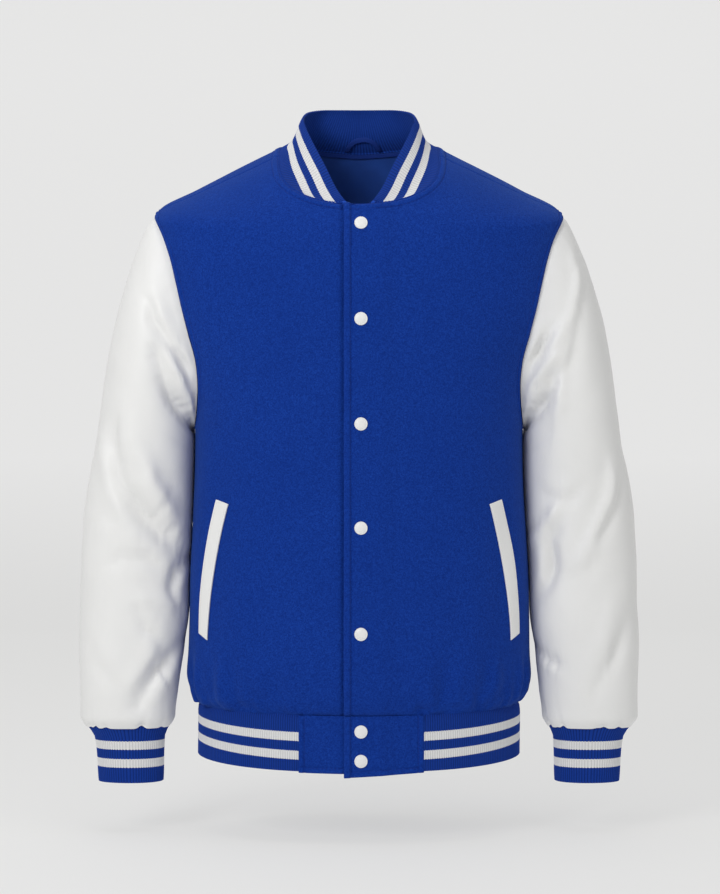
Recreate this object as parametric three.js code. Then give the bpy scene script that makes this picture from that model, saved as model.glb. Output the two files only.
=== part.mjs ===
// Varsity jacket, filled out as if worn: wool body, smooth leather sleeves, striped rib knit.
// Millimetres, +Z up. The front faces -Y and the wearer's left side is +X.
// The origin lies between the two neck points, at the height where the shoulder line meets the collar.
import * as THREE from 'three';

// Driving sizes of the cut
const CLOTH = 2.0;
const RIB_WALL = 2.8;
const TRIM = 1.0;
const INSIDE_GAP = 0.5;
const TAPE_GAP = 1.0;
const LOOP_EASE = 0.5;
const SEAM_GAP = 0.3;
const HALF_GAP = SEAM_GAP / 2;
const HEM_SEAM = -626;
const HEM_END = -690;
const TAB_END = -692;
const OVERLAP_EDGE = -16.5;
const UNDERLAP_EDGE = -14;
const OVERLAP_FLAT = 22;
const OVERLAP_SLOPE_END = 44;
const OVERLAP_GAP = 0.8;
const OVERLAP_TRIM = 0.4;
const SHOULDER_SEAM_Y = -8;
const SHOULDER_HALF_GAP = 0.3;
const TAB_RIGHT_END = 66.3;
const TAB_LEFT_END = 71.5;

// Neckline levels on the body: front, back and at the neck points
const NECK_FRONT = -22;
const NECK_BACK = -15;
const NECK_SIDE = 8;
const NECK_ROUNDNESS = 1.3;

// Armhole, an oval in the side view
const ARMHOLE_TOP = -64;
const ARMHOLE_END = -308;
const ARMHOLE_FRONT = 60;
const ARMHOLE_BACK = 70;
const ARMHOLE_FULLNESS = 0.85;
const SLEEVE_SQUARE = 2.2;
const SLEEVE_LEAVES = 0.75;

// Knit ribs, raised on the outside of the bands
const RIB_RAISE = 0.5;
const HEM_RIBS = 318;
const CUFF_RIBS = 78;
const COLLAR_RIBS = 165;

// Snaps down the placket
const SNAP_X = 2.2;
const SNAP_HEIGHTS = [-84, -189.5, -304.7, -419, -535.3, -643, -675.3];

// Hanger loop: its half width and rise as shares of the collar, and where it stands
const LOOP_HALF = 0.043;
const LOOP_MIDDLE = 0.011;
const LOOP_FOOT = 0.03;
const LOOP_RISE = 0.36;
const LOOP_TAPE = 0.11;
const LOOP_NARROWS = 0.27;
const LOOP_FULLNESS = 0.8;
const LOOP_STEPS = 12;

// Grid counts
const ROWS_TO_UNDERARM = 11;
const ROWS_TO_NECK = 18;
const ROWS_TO_SHOULDER = 23;
const FRONT_SPREAD = [0, 0.035, 0.074, 0.118, 0.2, 0.3, 0.41, 0.52, 0.63, 0.74, 0.85, 0.93, 1];
const BACK_SPREAD = [0, 0.12, 0.24, 0.35, 0.46, 0.57, 0.68, 0.79, 0.9, 1];
const UPPER_ARMHOLE = Math.PI / 4;
const BAND_AROUND = 24;
const LINING_FIRST_ROW = 13;
const LINING_LAST_ROW = 22;
const LINING_COLUMNS = 8;
const LINING_DROP = 1.2;
const TAPE_DROPS = [1.4, 5.6];
const SLEEVE_ALONG = 22;
const COLLAR_COLUMNS = 44;
const SNAP_SIDES = 12;
const HEM_INSIDE = 53;
const LENGTH_STEPS = 720;
const FOLD_STEPS = 24;
const FOLD_ROW_STEP = 0.25;
const WELT_ALONG = 8;
const WELT_ACROSS = 2;
const TAB_ROWS = 2;
const TURN_STEP = 0.02;

// Colours and finishes
const WOOL = { color: 0x1d3fa6, roughness: 0.95, metalness: 0 };
const KNIT = { color: 0x1a3796, roughness: 0.9, metalness: 0 };
const LEATHER = { color: 0xe9e7e3, roughness: 0.5, metalness: 0 };
const SATIN = { color: 0x101d4d, roughness: 0.45, metalness: 0 };
const TAPE = { color: 0x16306f, roughness: 0.85, metalness: 0 };
const SNAP_CAP = { color: 0xf2f2f0, roughness: 0.4, metalness: 0 };

function steps(first, last) {
  return Array.from({ length: last - first + 1 }, (unused, i) => first + i);
}

function table(columns, rows) {
  return rows.map((row) => Object.fromEntries(columns.map((name, i) => [name, row[i]])));
}

// Section of a snap's cap from the middle of its foot, round the edge, to the top of its dome
const SNAP_PROFILE = table(['radius', 'up'], [
  [0, 0],
  [6.6, 0],
  [7.5, 0.8],
  [6.8, 1.9],
  [4, 2.8],
  [0, 3.1],
]);

// Rings of the body from the neck down: each is a rounded oval, tilted forward near the neck
const BODY = table(['level', 'halfWidth', 'front', 'back', 'square', 'tilt'], [
  [8, 92, 83, 71, 2.2, 0.45],
  [-15, 140, 95, 80, 2.25, 0.42],
  [-40, 192, 103, 92, 2.3, 0.33],
  [-57, 228, 107, 99, 2.3, 0.27],
  [-66, 235, 109, 102, 2.3, 0.24],
  [-86, 233, 112, 107, 2.35, 0.18],
  [-109, 231, 114.5, 112, 2.4, 0.12],
  [-132, 229, 117, 116, 2.4, 0.08],
  [-167, 223, 119, 119, 2.4, 0.04],
  [-201, 213, 120, 120, 2.4, 0],
  [-236, 199, 120, 119, 2.4, 0],
  [-270, 191, 120, 117, 2.4, 0],
  [-307, 187.5, 119.5, 114, 2.4, 0],
  [-340, 188, 119, 111, 2.4, 0],
  [-400, 190, 118.5, 108, 2.4, 0],
  [-455, 193, 119, 108, 2.4, 0],
  [-500, 194.5, 120, 111, 2.4, 0],
  [-570, 195.5, 121, 115, 2.4, 0],
  [-590, 196, 120.5, 115, 2.4, 0],
  [-610, 193, 118, 112, 2.4, 0],
  [-626, 184, 113, 107, 2.4, 0],
  [-695, 184, 113, 107, 2.4, 0],
]);

// Sections of a sleeve from the armhole to the cuff seam: the outer point, the point beside the body,
// the depth to the front and back of them, and how far forward the section lies
const SLEEVE = table(['row', 'outX', 'outZ', 'inX', 'inZ', 'front', 'back', 'forward'], [
  [0, 234.7, -64.4, 187.8, -307.6, 60, 70, 0],
  [1, 242, -75, 189.8, -310.5, 63, 71, 0],
  [2, 251, -95, 191, -313.5, 66, 72, 0],
  [3, 261, -120, 191.5, -316.5, 67, 72, 0],
  [4, 270, -150, 192, -320, 68, 72, 0],
  [5, 278, -180, 192, -324, 68, 72, 0],
  [6, 285, -212, 192, -328, 68, 72, 0],
  [7, 291, -247, 192, -334, 67, 71, 0],
  [8, 297, -290, 192.5, -343, 66, 69, 0],
  [9, 301, -325, 193, -357, 64, 67, 1],
  [10, 307, -355, 194, -376, 61, 64, 2],
  [11, 312, -385, 195, -399, 58, 61, 4],
  [12, 316, -420, 196.5, -428, 55, 57, 6],
  [13, 318, -460, 197.5, -465, 53, 53, 8],
  [14, 318.5, -505, 198, -508, 51, 50, 10],
  [15, 320, -548, 200.5, -549, 49, 47, 12],
  [16, 319, -590, 204.5, -590, 46, 43, 14],
  [17, 318.5, -622, 207.5, -622, 43, 40, 15],
  [18, 317, -640, 210, -640, 40, 37, 16],
  [19, 311.5, -654.85, 218, -654.85, 34, 32, 16],
]);

// Sections of a cuff
const CUFF = table(['row', 'outX', 'outZ', 'inX', 'inZ', 'front', 'back', 'forward'], [
  [0, 311, -655.15, 218.5, -655.15, 33, 31, 16],
  [1, 303, -665, 222.5, -665, 29, 28, 16],
  [2, 299.5, -715, 225, -715, 27.5, 27, 17],
]);

// Upper edge of the collar, for one side: a place for each turn around the neck, in degrees from the front
const COLLAR_TOP = table(['turn', 'x', 'y', 'z'], [
  [0, 6, -98, -66],
  [6, 13.5, -96.5, -59],
  [20, 24.5, -81, -43],
  [40, 38, -59, -14],
  [60, 51, -35, 13],
  [80, 61, -11, 36],
  [100, 65, 12, 50],
  [120, 59, 36, 60],
  [150, 37, 58, 66],
  [180, 0, 66, 67],
]);
const COLLAR_END_X = 13;
const COLLAR_ROLL = -6;
const COLLAR_WAIST = 0.4;
const COLLAR_FULL = 45;

// Main folds of the sleeves: from one front-view place to another, on the front (-1) or back (1) face.
// Raise is outward where positive, and reach is how wide the fold spreads.
const FOLD_COLUMNS = ['face', 'x1', 'z1', 'x2', 'z2', 'raise', 'reach'];
const FOLDS = {
  right: table(FOLD_COLUMNS, [
    [-1, 233, -181, 190, -248, -3, 12],
    [-1, 223, -226, 192, -296, -5, 13],
    [-1, 279, -318, 243, -398, 5, 17],
    [-1, 243, -398, 196, -446, 5, 17],
    [-1, 262, -400, 214, -452, -4, 12],
    [-1, 250, -509, 210, -537, -3.5, 13],
    [-1, 214, -557, 250, -618, -4, 13],
    [1, 292, -330, 225, -405, -4, 17],
    [1, 300, -400, 215, -440, 4, 17],
    [1, 230, -520, 290, -580, -3.5, 15],
    [1, 235, -150, 215, -260, -3, 16],
  ]),
  left: table(FOLD_COLUMNS, [
    [-1, 244, -129, 214, -211, 2.5, 15],
    [-1, 227, -224, 195, -267, 3.5, 14],
    [-1, 192, -285, 216, -257, -4, 12],
    [-1, 244, -238, 221, -306, -3, 14],
    [-1, 284, -342, 278, -396, 4, 16],
    [-1, 303, -397, 258, -442, -4.5, 14],
    [-1, 300, -561, 262, -597, -3.5, 13],
    [1, 295, -325, 220, -385, 4, 18],
    [1, 300, -395, 225, -455, -4.5, 16],
    [1, 225, -545, 285, -590, -3, 15],
    [1, 240, -140, 210, -240, -3, 16],
  ]),
};

// Pocket welt: the ends of its two long edges in the front view, bowed towards the side
const WELT_EDGES = table(['topX', 'topZ', 'endX', 'endZ'], [
  [144.8, -393.5, 169, -546.5],
  [159, -388.5, 178.5, -539.5],
]);
const WELT_BOW = 5;
const WELT_RAISE = 2.2;

// Soft gathers where the hem rib draws the body in
const GATHERS = 22;
const PLACKET_FLAT = 0.12;
const GATHERS_FULL = 0.5;
const GATHER_RAISE = 1.6;
const GATHER_LEVEL = -596;
const GATHER_REACH = 26;

const QUARTER = Math.PI / 2;
const HALF_TURN = Math.PI;

function lerp(a, b, part) {
  return a + (b - a) * part;
}

function ramp(low, high, value) {
  return THREE.MathUtils.smoothstep(value, low, high);
}

function signedPower(value, power) {
  return Math.sign(value) * Math.abs(value) ** power;
}

// A value between the rows of a table, smooth and with no overshoot
function between(rows, key, column, at) {
  const last = rows.length - 1;
  const way = Math.sign(rows[last][key] - rows[0][key]);
  let i = 0;
  while (i < last - 1 && (at - rows[i + 1][key]) * way > 0) {
    i += 1;
  }
  const rise = (j) => (rows[j + 1][column] - rows[j][column]) / (rows[j + 1][key] - rows[j][key]);
  const slope = (j) => {
    const before = rise(Math.max(j - 1, 0));
    const after = rise(Math.min(j, last - 1));
    return before * after <= 0 ? 0 : (2 * before * after) / (before + after);
  };
  const span = rows[i + 1][key] - rows[i][key];
  const part = THREE.MathUtils.clamp((at - rows[i][key]) / span, 0, 1);
  const start = rows[i][column];
  const step = rows[i + 1][column] - start;
  const a = slope(i) * span;
  const b = slope(i + 1) * span;
  return start + part * (a + part * (3 * step - 2 * a - b + part * (a + b - 2 * step)));
}

// The body's surface: turn goes around from the centre front, and level from the neck to the hem
function ringAt(level) {
  const read = (column) => between(BODY, 'level', column, level);
  return {
    halfWidth: read('halfWidth'),
    front: read('front'),
    back: read('back'),
    square: read('square'),
    tilt: read('tilt'),
  };
}

function bodySurface(turn, level) {
  const ring = ringAt(level);
  const power = 2 / ring.square;
  const depth = Math.cos(turn) > 0 ? ring.front : ring.back;
  const x = ring.halfWidth * signedPower(Math.sin(turn), power);
  const y = -depth * signedPower(Math.cos(turn), power);
  return new THREE.Vector3(x, y, level + ring.tilt * y);
}

function bodyNormal(turn, level) {
  const around = bodySurface(turn + TURN_STEP, level).sub(bodySurface(turn - TURN_STEP, level));
  const up = bodySurface(turn, level + 1).sub(bodySurface(turn, level - 1));
  return around.cross(up).normalize();
}

function bodyPoint(turn, level, lift) {
  return bodySurface(turn, level).addScaledVector(bodyNormal(turn, level), lift);
}

// The turn at which a level of the front has a given x
function turnAcross(x, level) {
  const ring = ringAt(level);
  return Math.asin(signedPower(THREE.MathUtils.clamp(x / ring.halfWidth, -1, 1), ring.square / 2));
}

// The turn at which a level has a given y, on the wearer's left side
function turnAtDepth(y, level) {
  const ring = ringAt(level);
  const depth = y < 0 ? ring.front : ring.back;
  return Math.acos(signedPower(THREE.MathUtils.clamp(-y / depth, -1, 1), ring.square / 2));
}

// The level whose ring passes the centre front at a given height
function levelAtFront(z) {
  let level = z;
  for (let i = 0; i < 12; i += 1) {
    const ring = ringAt(level);
    level = z + ring.tilt * ring.front;
  }
  return level;
}

function neckLevel(turn) {
  const base = lerp(NECK_FRONT, NECK_BACK, (1 - Math.cos(turn)) / 2);
  return lerp(base, NECK_SIDE, Math.abs(Math.sin(turn)) ** NECK_ROUNDNESS);
}

// The body swells softly above the hem, where the rib draws it in
function gatherLift(turn, level) {
  const fade = Math.exp(-(((level - GATHER_LEVEL) / GATHER_REACH) ** 2));
  const wave = Math.cos(GATHERS * turn) + 0.5 * Math.cos(1.7 * GATHERS * turn);
  return GATHER_RAISE * fade * wave * ramp(PLACKET_FLAT, GATHERS_FULL, Math.abs(turn));
}

// A place on the armhole, from 0 at the shoulder to a half turn at the underarm
function armholePlace(angle, face, inset) {
  const height = (ARMHOLE_TOP - ARMHOLE_END) / 2 - inset;
  const level = (ARMHOLE_TOP + ARMHOLE_END) / 2 + height * Math.cos(angle);
  const depth = (face < 0 ? ARMHOLE_FRONT : ARMHOLE_BACK) - inset;
  const middle = SHOULDER_SEAM_Y * (1 + Math.cos(angle)) / 2;
  const y = middle + face * depth * Math.abs(Math.sin(angle)) ** ARMHOLE_FULLNESS;
  return { turn: turnAtDepth(y, level), level };
}

// Triangles of a wall between an outer and an inner grid. Both have the same rows. The inner one may have
// fewer columns, where the outer one carries ribs. The first column has no rim up to the joined row.
function wallTriangles(outer, inner, round, joined = 0) {
  const corners = [];
  const triangle = (a, b, c) => corners.push(...a.toArray(), ...b.toArray(), ...c.toArray());
  const top = outer.length - 1;
  const sheet = (grid, flip) => {
    const columns = grid[0].length;
    const quads = round ? columns : columns - 1;
    for (let i = 0; i < top; i += 1) {
      for (let j = 0; j < quads; j += 1) {
        const k = (j + 1) % columns;
        const [a, b, c, d] = [grid[i][j], grid[i][k], grid[i + 1][k], grid[i + 1][j]];
        triangle(a, flip ? c : b, flip ? b : c);
        triangle(a, flip ? d : c, flip ? c : d);
      }
    }
  };
  const rim = (out, inn, upper) => {
    const outSteps = round ? out.length : out.length - 1;
    const innSteps = round ? inn.length : inn.length - 1;
    let j = 0;
    let k = 0;
    while (j < outSteps || k < innSteps) {
      const a = out[j % out.length];
      const b = inn[k % inn.length];
      const outerNext = k === innSteps || (j < outSteps && (j + 1) / outSteps <= (k + 1) / innSteps);
      if (outerNext) {
        const next = out[(j + 1) % out.length];
        triangle(upper ? a : next, upper ? next : a, b);
        j += 1;
      } else {
        const next = inn[(k + 1) % inn.length];
        triangle(a, upper ? next : b, upper ? b : next);
        k += 1;
      }
    }
  };
  sheet(outer, false);
  sheet(inner, true);
  rim(outer[0], inner[0], false);
  rim(outer[top], inner[top], true);
  if (!round) {
    const side = (out, inn, far) => {
      for (let i = far ? 0 : joined; i < top; i += 1) {
        const [a, b, c, d] = [out[i], out[i + 1], inn[i + 1], inn[i]];
        triangle(a, far ? c : b, far ? b : c);
        triangle(a, far ? d : c, far ? c : d);
      }
    };
    side(outer.map((row) => row[0]), inner.map((row) => row[0]), false);
    side(outer.map((row) => row.at(-1)), inner.map((row) => row.at(-1)), true);
  }
  return corners;
}

function wallGeometry(outer, inner, round) {
  return outwardGeometry(wallTriangles(outer, inner, round));
}

// The same triangles on the other side of the body
function mirrored(corners) {
  const result = [];
  for (let i = 0; i < corners.length; i += 9) {
    for (const k of [0, 6, 3]) {
      result.push(-corners[i + k], corners[i + k + 1], corners[i + k + 2]);
    }
  }
  return result;
}

// Turns every triangle over where the closed surface would face inwards
function outwardGeometry(corners) {
  const [a, b, c] = [new THREE.Vector3(), new THREE.Vector3(), new THREE.Vector3()];
  let volume = 0;
  for (let i = 0; i < corners.length; i += 9) {
    a.fromArray(corners, i);
    b.fromArray(corners, i + 3);
    c.fromArray(corners, i + 6);
    volume += a.dot(b.cross(c));
  }
  if (volume < 0) {
    for (let i = 0; i < corners.length; i += 9) {
      const second = corners.slice(i + 3, i + 6);
      const third = corners.slice(i + 6, i + 9);
      corners.splice(i + 3, 6, ...third, ...second);
    }
  }
  const geometry = new THREE.BufferGeometry();
  geometry.setAttribute('position', new THREE.Float32BufferAttribute(corners, 3));
  geometry.computeVertexNormals();
  return geometry;
}

function piece(name, geometry, finish) {
  const mesh = new THREE.Mesh(geometry, new THREE.MeshStandardMaterial(finish));
  mesh.name = name;
  return mesh;
}

function bodyGrid(places, drop) {
  return places.map((row) => row.map((at) => bodyPoint(at.turn, at.level, at.lift - drop)));
}

// A wall on the body, from a grid of places, each with its turn, level and lift
function bodyWall(places, thickness) {
  return wallGeometry(bodyGrid(places, 0), bodyGrid(places, thickness), false);
}

// A wall across the back: one half and its mirror image, joined along the centre up to a row
function backWall(places, thickness, joined) {
  const half = wallTriangles(bodyGrid(places, 0), bodyGrid(places, thickness), false, joined);
  return outwardGeometry([...half, ...mirrored(half)]);
}

// The left front lies over the right one down the placket
function overlapLift(x, rise) {
  return rise * (1 - ramp(OVERLAP_FLAT, OVERLAP_SLOPE_END, x));
}

// The armhole's angle at a row: rows lie closer over its upper part
function armholeAngle(row) {
  if (row <= ROWS_TO_NECK) {
    const part = (row - ROWS_TO_UNDERARM) / (ROWS_TO_NECK - ROWS_TO_UNDERARM);
    return lerp(HALF_TURN, UPPER_ARMHOLE, part);
  }
  return UPPER_ARMHOLE * (ROWS_TO_SHOULDER - row) / (ROWS_TO_SHOULDER - ROWS_TO_NECK);
}

// The chain of places up the side seam and the armhole
function sideChain(row, face) {
  if (row <= ROWS_TO_UNDERARM) {
    const part = row / ROWS_TO_UNDERARM;
    const level = lerp(HEM_SEAM + HALF_GAP, ARMHOLE_END - HALF_GAP, part);
    return { turn: QUARTER + face * 0.001, level };
  }
  return armholePlace(armholeAngle(row), face, 0);
}

// The chain of places up the front edge and round the neckline
function edgeChain(row, edgeX) {
  const neckTurn = turnAcross(edgeX, NECK_FRONT);
  if (row <= ROWS_TO_NECK) {
    const level = lerp(HEM_SEAM + HALF_GAP, neckLevel(neckTurn) - HALF_GAP, row / ROWS_TO_NECK);
    return { turn: turnAcross(edgeX, level), level };
  }
  const part = (row - ROWS_TO_NECK - 1) / (ROWS_TO_SHOULDER - ROWS_TO_NECK - 1);
  const shoulderTurn = turnAtDepth(SHOULDER_SEAM_Y - SHOULDER_HALF_GAP, NECK_SIDE);
  const turn = lerp(turnAcross(COLLAR_END_X, NECK_FRONT), shoulderTurn, part);
  return { turn, level: neckLevel(turn) - HALF_GAP };
}

// The chain of places up the centre back and round the back neckline
function centreChain(row) {
  if (row <= ROWS_TO_NECK) {
    const level = lerp(HEM_SEAM + HALF_GAP, NECK_BACK - HALF_GAP, row / ROWS_TO_NECK);
    return { turn: HALF_TURN, level };
  }
  const part = (row - ROWS_TO_NECK) / (ROWS_TO_SHOULDER - ROWS_TO_NECK);
  const turn = lerp(HALF_TURN, turnAtDepth(SHOULDER_SEAM_Y + SHOULDER_HALF_GAP, NECK_SIDE), part);
  return { turn, level: neckLevel(turn) - HALF_GAP };
}

function shoulderPlace(part, y) {
  const level = lerp(NECK_SIDE - HALF_GAP, ARMHOLE_TOP, part);
  return { turn: turnAtDepth(y, level), level };
}

// Rows of places between two chains, the last one along the shoulder seam
function panelPlaces(near, far, spread, shoulderY) {
  return steps(0, ROWS_TO_SHOULDER).map((row) => spread.map((part) => {
    if (row === ROWS_TO_SHOULDER) {
      return shoulderPlace(part, shoulderY);
    }
    const a = near(row);
    const b = far(row);
    return { turn: lerp(a.turn, b.turn, part), level: lerp(a.level, b.level, part) };
  }));
}

function frontPlaces(side, edgeX, rise) {
  const near = (row) => edgeChain(row, edgeX);
  const far = (row) => sideChain(row, -1);
  const places = panelPlaces(near, far, FRONT_SPREAD, SHOULDER_SEAM_Y - SHOULDER_HALF_GAP);
  return places.map((row, i) => row.map((at) => {
    const over = overlapLift(bodySurface(at.turn, at.level).x, rise);
    const level = at.level - (i >= ROWS_TO_NECK ? OVERLAP_TRIM * over : 0);
    return { turn: side * at.turn, level, lift: over + gatherLift(at.turn, level) };
  }));
}

function backPlaces() {
  const far = (row) => sideChain(row, 1);
  const places = panelPlaces(centreChain, far, BACK_SPREAD, SHOULDER_SEAM_Y + SHOULDER_HALF_GAP);
  return places.map((row) => row.map((at) => ({ ...at, lift: gatherLift(at.turn, at.level) })));
}

// A ring of a sleeve or cuff at a row of its table, for the wearer's left side
function sleeveRing(rows, row, angle) {
  const read = (column) => between(rows, 'row', column, row);
  const power = 2 / SLEEVE_SQUARE;
  const out = signedPower(Math.cos(angle), power);
  const fore = signedPower(Math.sin(angle), power);
  const x = (read('outX') + read('inX')) / 2 + out * (read('outX') - read('inX')) / 2;
  const z = (read('outZ') + read('inZ')) / 2 + out * (read('outZ') - read('inZ')) / 2;
  const y = -fore * (fore > 0 ? read('front') : read('back')) - read('forward');
  return new THREE.Vector3(x, y, z);
}

// The sleeve's outer surface before its folds: the first ring follows the armhole, and later rings leave it
function plainSleeve(row, angle) {
  const point = sleeveRing(SLEEVE, row, angle);
  const near = Math.exp(-row * SLEEVE_LEAVES);
  const face = Math.sin(angle) > 0 ? -1 : 1;
  const down = Math.acos(Math.cos(angle));
  const place = armholePlace(down, face, SEAM_GAP);
  const edge = bodySurface(place.turn, place.level);
  return point.addScaledVector(edge.sub(sleeveRing(SLEEVE, 0, angle)), near);
}

// Where a front-view place meets the front or back face of the plain sleeve
function foldPlace(x, z, face) {
  let best = new THREE.Vector3();
  let nearest = Infinity;
  for (let row = 0; row <= SLEEVE.length - 1; row += FOLD_ROW_STEP) {
    for (let step = 1; step < FOLD_STEPS; step += 1) {
      const point = plainSleeve(row, -face * step * HALF_TURN / FOLD_STEPS);
      const distance = Math.hypot(point.x - x, point.z - z);
      if (distance < nearest) {
        nearest = distance;
        best = point;
      }
    }
  }
  return best;
}

function foldLines(folds) {
  return folds.map((fold) => ({
    line: new THREE.Line3(foldPlace(fold.x1, fold.z1, fold.face), foldPlace(fold.x2, fold.z2, fold.face)),
    raise: fold.raise,
    reach: fold.reach,
  }));
}

function foldRaise(point, folds) {
  const nearest = new THREE.Vector3();
  let raise = 0;
  for (const fold of folds) {
    fold.line.closestPointToPoint(point, true, nearest);
    raise += fold.raise * Math.exp(-((nearest.distanceTo(point) / fold.reach) ** 2));
  }
  return raise;
}

// Outward directions at the points of a closed ring grid
function ringNormals(grid) {
  const last = grid.length - 1;
  return grid.map((row, i) => row.map((point, j) => {
    const count = row.length;
    const around = row[(j + 1) % count].clone().sub(row[(j + count - 1) % count]);
    const along = grid[Math.min(i + 1, last)][j].clone().sub(grid[Math.max(i - 1, 0)][j]);
    return around.cross(along).normalize();
  }));
}

function moved(grid, normals, distance) {
  return grid.map((row, i) => row.map((point, j) => point.clone().addScaledVector(normals[i][j], distance)));
}

function mirrorAcross(geometry) {
  const corners = Array.from(geometry.getAttribute('position').array);
  return outwardGeometry(corners.map((value, i) => (i % 3 === 0 ? -value : value)));
}

// Angles around a sleeve, from the shoulder down the front and up the back, at the armhole's own corners
function sleeveAngles() {
  const front = steps(ROWS_TO_UNDERARM, ROWS_TO_SHOULDER).map((row) => armholeAngle(row)).reverse();
  const back = front.slice(1, -1).map((angle) => 2 * HALF_TURN - angle).reverse();
  return [...front, ...back];
}

function sleeveGeometry(side) {
  const folds = foldLines(FOLDS[side]);
  const plain = [];
  for (let i = 0; i <= SLEEVE_ALONG; i += 1) {
    const row = (SLEEVE.length - 1) * (i / SLEEVE_ALONG);
    plain.push(sleeveAngles().map((angle) => plainSleeve(row, angle)));
  }
  const normals = ringNormals(plain);
  const outer = plain.map((ring, i) => ring.map((point, j) => {
    const free = ramp(0, 3, i) * ramp(SLEEVE_ALONG, SLEEVE_ALONG - 2, i);
    return point.clone().addScaledVector(normals[i][j], free * foldRaise(point, folds));
  }));
  const geometry = wallGeometry(outer, moved(outer, ringNormals(outer), -CLOTH), true);
  return side === 'left' ? geometry : mirrorAcross(geometry);
}

// The same directions with no rise, for a band whose upper edge stays level
function levelNormals(grid) {
  return ringNormals(grid).map((row) => row.map((normal) => normal.setZ(0).normalize()));
}

// Ribs: every second column of an outer grid is raised
function ribbed(grid, normals) {
  return moved(grid, normals, 0).map((row, i) => row.map((point, j) => {
    return j % 2 ? point.addScaledVector(normals[i][j], RIB_RAISE) : point;
  }));
}

function cuffGeometry(side) {
  const band = (around) => CUFF.map((unused, row) => {
    const ring = [];
    for (let j = 0; j < around; j += 1) {
      ring.push(sleeveRing(CUFF, row, 2 * HALF_TURN * j / around));
    }
    return ring;
  });
  const fine = band(2 * CUFF_RIBS);
  const coarse = band(BAND_AROUND);
  const inner = moved(coarse, levelNormals(coarse), -RIB_WALL);
  const geometry = wallGeometry(ribbed(fine, levelNormals(fine)), inner, true);
  return side === 'left' ? geometry : mirrorAcross(geometry);
}

// Values between a start and an end, at even steps along the line that they trace
function evenSteps(start, end, count, trace) {
  const lengths = [0];
  let last = trace(start);
  for (let i = 1; i <= LENGTH_STEPS; i += 1) {
    const point = trace(lerp(start, end, i / LENGTH_STEPS));
    lengths.push(lengths[i - 1] + point.distanceTo(last));
    last = point;
  }
  const result = [];
  let at = 0;
  for (let j = 0; j <= count; j += 1) {
    const wanted = lengths[LENGTH_STEPS] * (j / count);
    while (at < LENGTH_STEPS - 1 && lengths[at + 1] < wanted) {
      at += 1;
    }
    const part = (wanted - lengths[at]) / (lengths[at + 1] - lengths[at]);
    result.push(lerp(start, end, (at + part) / LENGTH_STEPS));
  }
  return result;
}

// Turns along the hem ring, from one tab round the back to the other
function hemTurns(count) {
  const start = turnAcross(TAB_LEFT_END + SEAM_GAP, HEM_SEAM);
  const end = 2 * HALF_TURN - turnAcross(TAB_RIGHT_END + SEAM_GAP, HEM_SEAM);
  return evenSteps(start, end, count, (turn) => bodySurface(turn, HEM_SEAM));
}

function hemGeometry() {
  const levels = [HEM_SEAM - HALF_GAP, HEM_END];
  const fineTurns = hemTurns(2 * HEM_RIBS);
  const coarseTurns = hemTurns(HEM_INSIDE);
  const outer = levels.map((level) => {
    return fineTurns.map((turn, j) => bodyPoint(turn, level, RIB_RAISE * (j % 2)));
  });
  const inner = levels.map((level) => coarseTurns.map((turn) => bodyPoint(turn, level, -RIB_WALL)));
  return wallGeometry(outer, inner, false);
}

function tabGeometry(side, edgeX, endX, rise) {
  const columns = [edgeX, 0, OVERLAP_FLAT, OVERLAP_SLOPE_END, endX];
  const places = steps(0, TAB_ROWS).map((row) => {
    const level = lerp(HEM_SEAM - HALF_GAP, TAB_END, row / TAB_ROWS);
    return columns.map((x) => ({ turn: side * turnAcross(x, level), level, lift: overlapLift(x, rise) }));
  });
  return bodyWall(places, CLOTH);
}

// The collar: a band from the neckline to its upper edge, with a soft roll
function collarTurn(part) {
  const end = turnAcross(COLLAR_END_X, NECK_FRONT);
  return HALF_TURN - part * (HALF_TURN - end);
}

function collarTop(turn) {
  const degrees = THREE.MathUtils.radToDeg(Math.abs(turn));
  const read = (column) => between(COLLAR_TOP, 'turn', column, degrees);
  return new THREE.Vector3(Math.sign(turn) * read('x'), read('y'), read('z'));
}

function neckPoint(turn) {
  return bodySurface(turn, neckLevel(turn));
}

// Corners of the neckline on the panels of one side, which the collar's foot follows
function neckCorners(edgeX) {
  const turns = [];
  for (let row = ROWS_TO_NECK; row <= ROWS_TO_SHOULDER; row += 1) {
    turns.push(edgeChain(row, edgeX).turn);
  }
  for (let row = ROWS_TO_SHOULDER; row >= ROWS_TO_NECK; row -= 1) {
    turns.push(centreChain(row).turn);
  }
  return turns.map((turn) => ({
    turn,
    point: neckPoint(turn),
    normal: bodyNormal(turn, neckLevel(turn)),
  }));
}

const NECK_CORNERS = { left: neckCorners(OVERLAP_EDGE), right: neckCorners(UNDERLAP_EDGE) };

function neckFoot(turn, side) {
  const corners = NECK_CORNERS[side];
  let i = 0;
  while (i < corners.length - 2 && turn > corners[i + 1].turn) {
    i += 1;
  }
  const part = (turn - corners[i].turn) / (corners[i + 1].turn - corners[i].turn);
  const point = corners[i].point.clone().lerp(corners[i + 1].point, part);
  const normal = corners[i].normal.clone().lerp(corners[i + 1].normal, part).normalize();
  return { point, normal };
}

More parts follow.
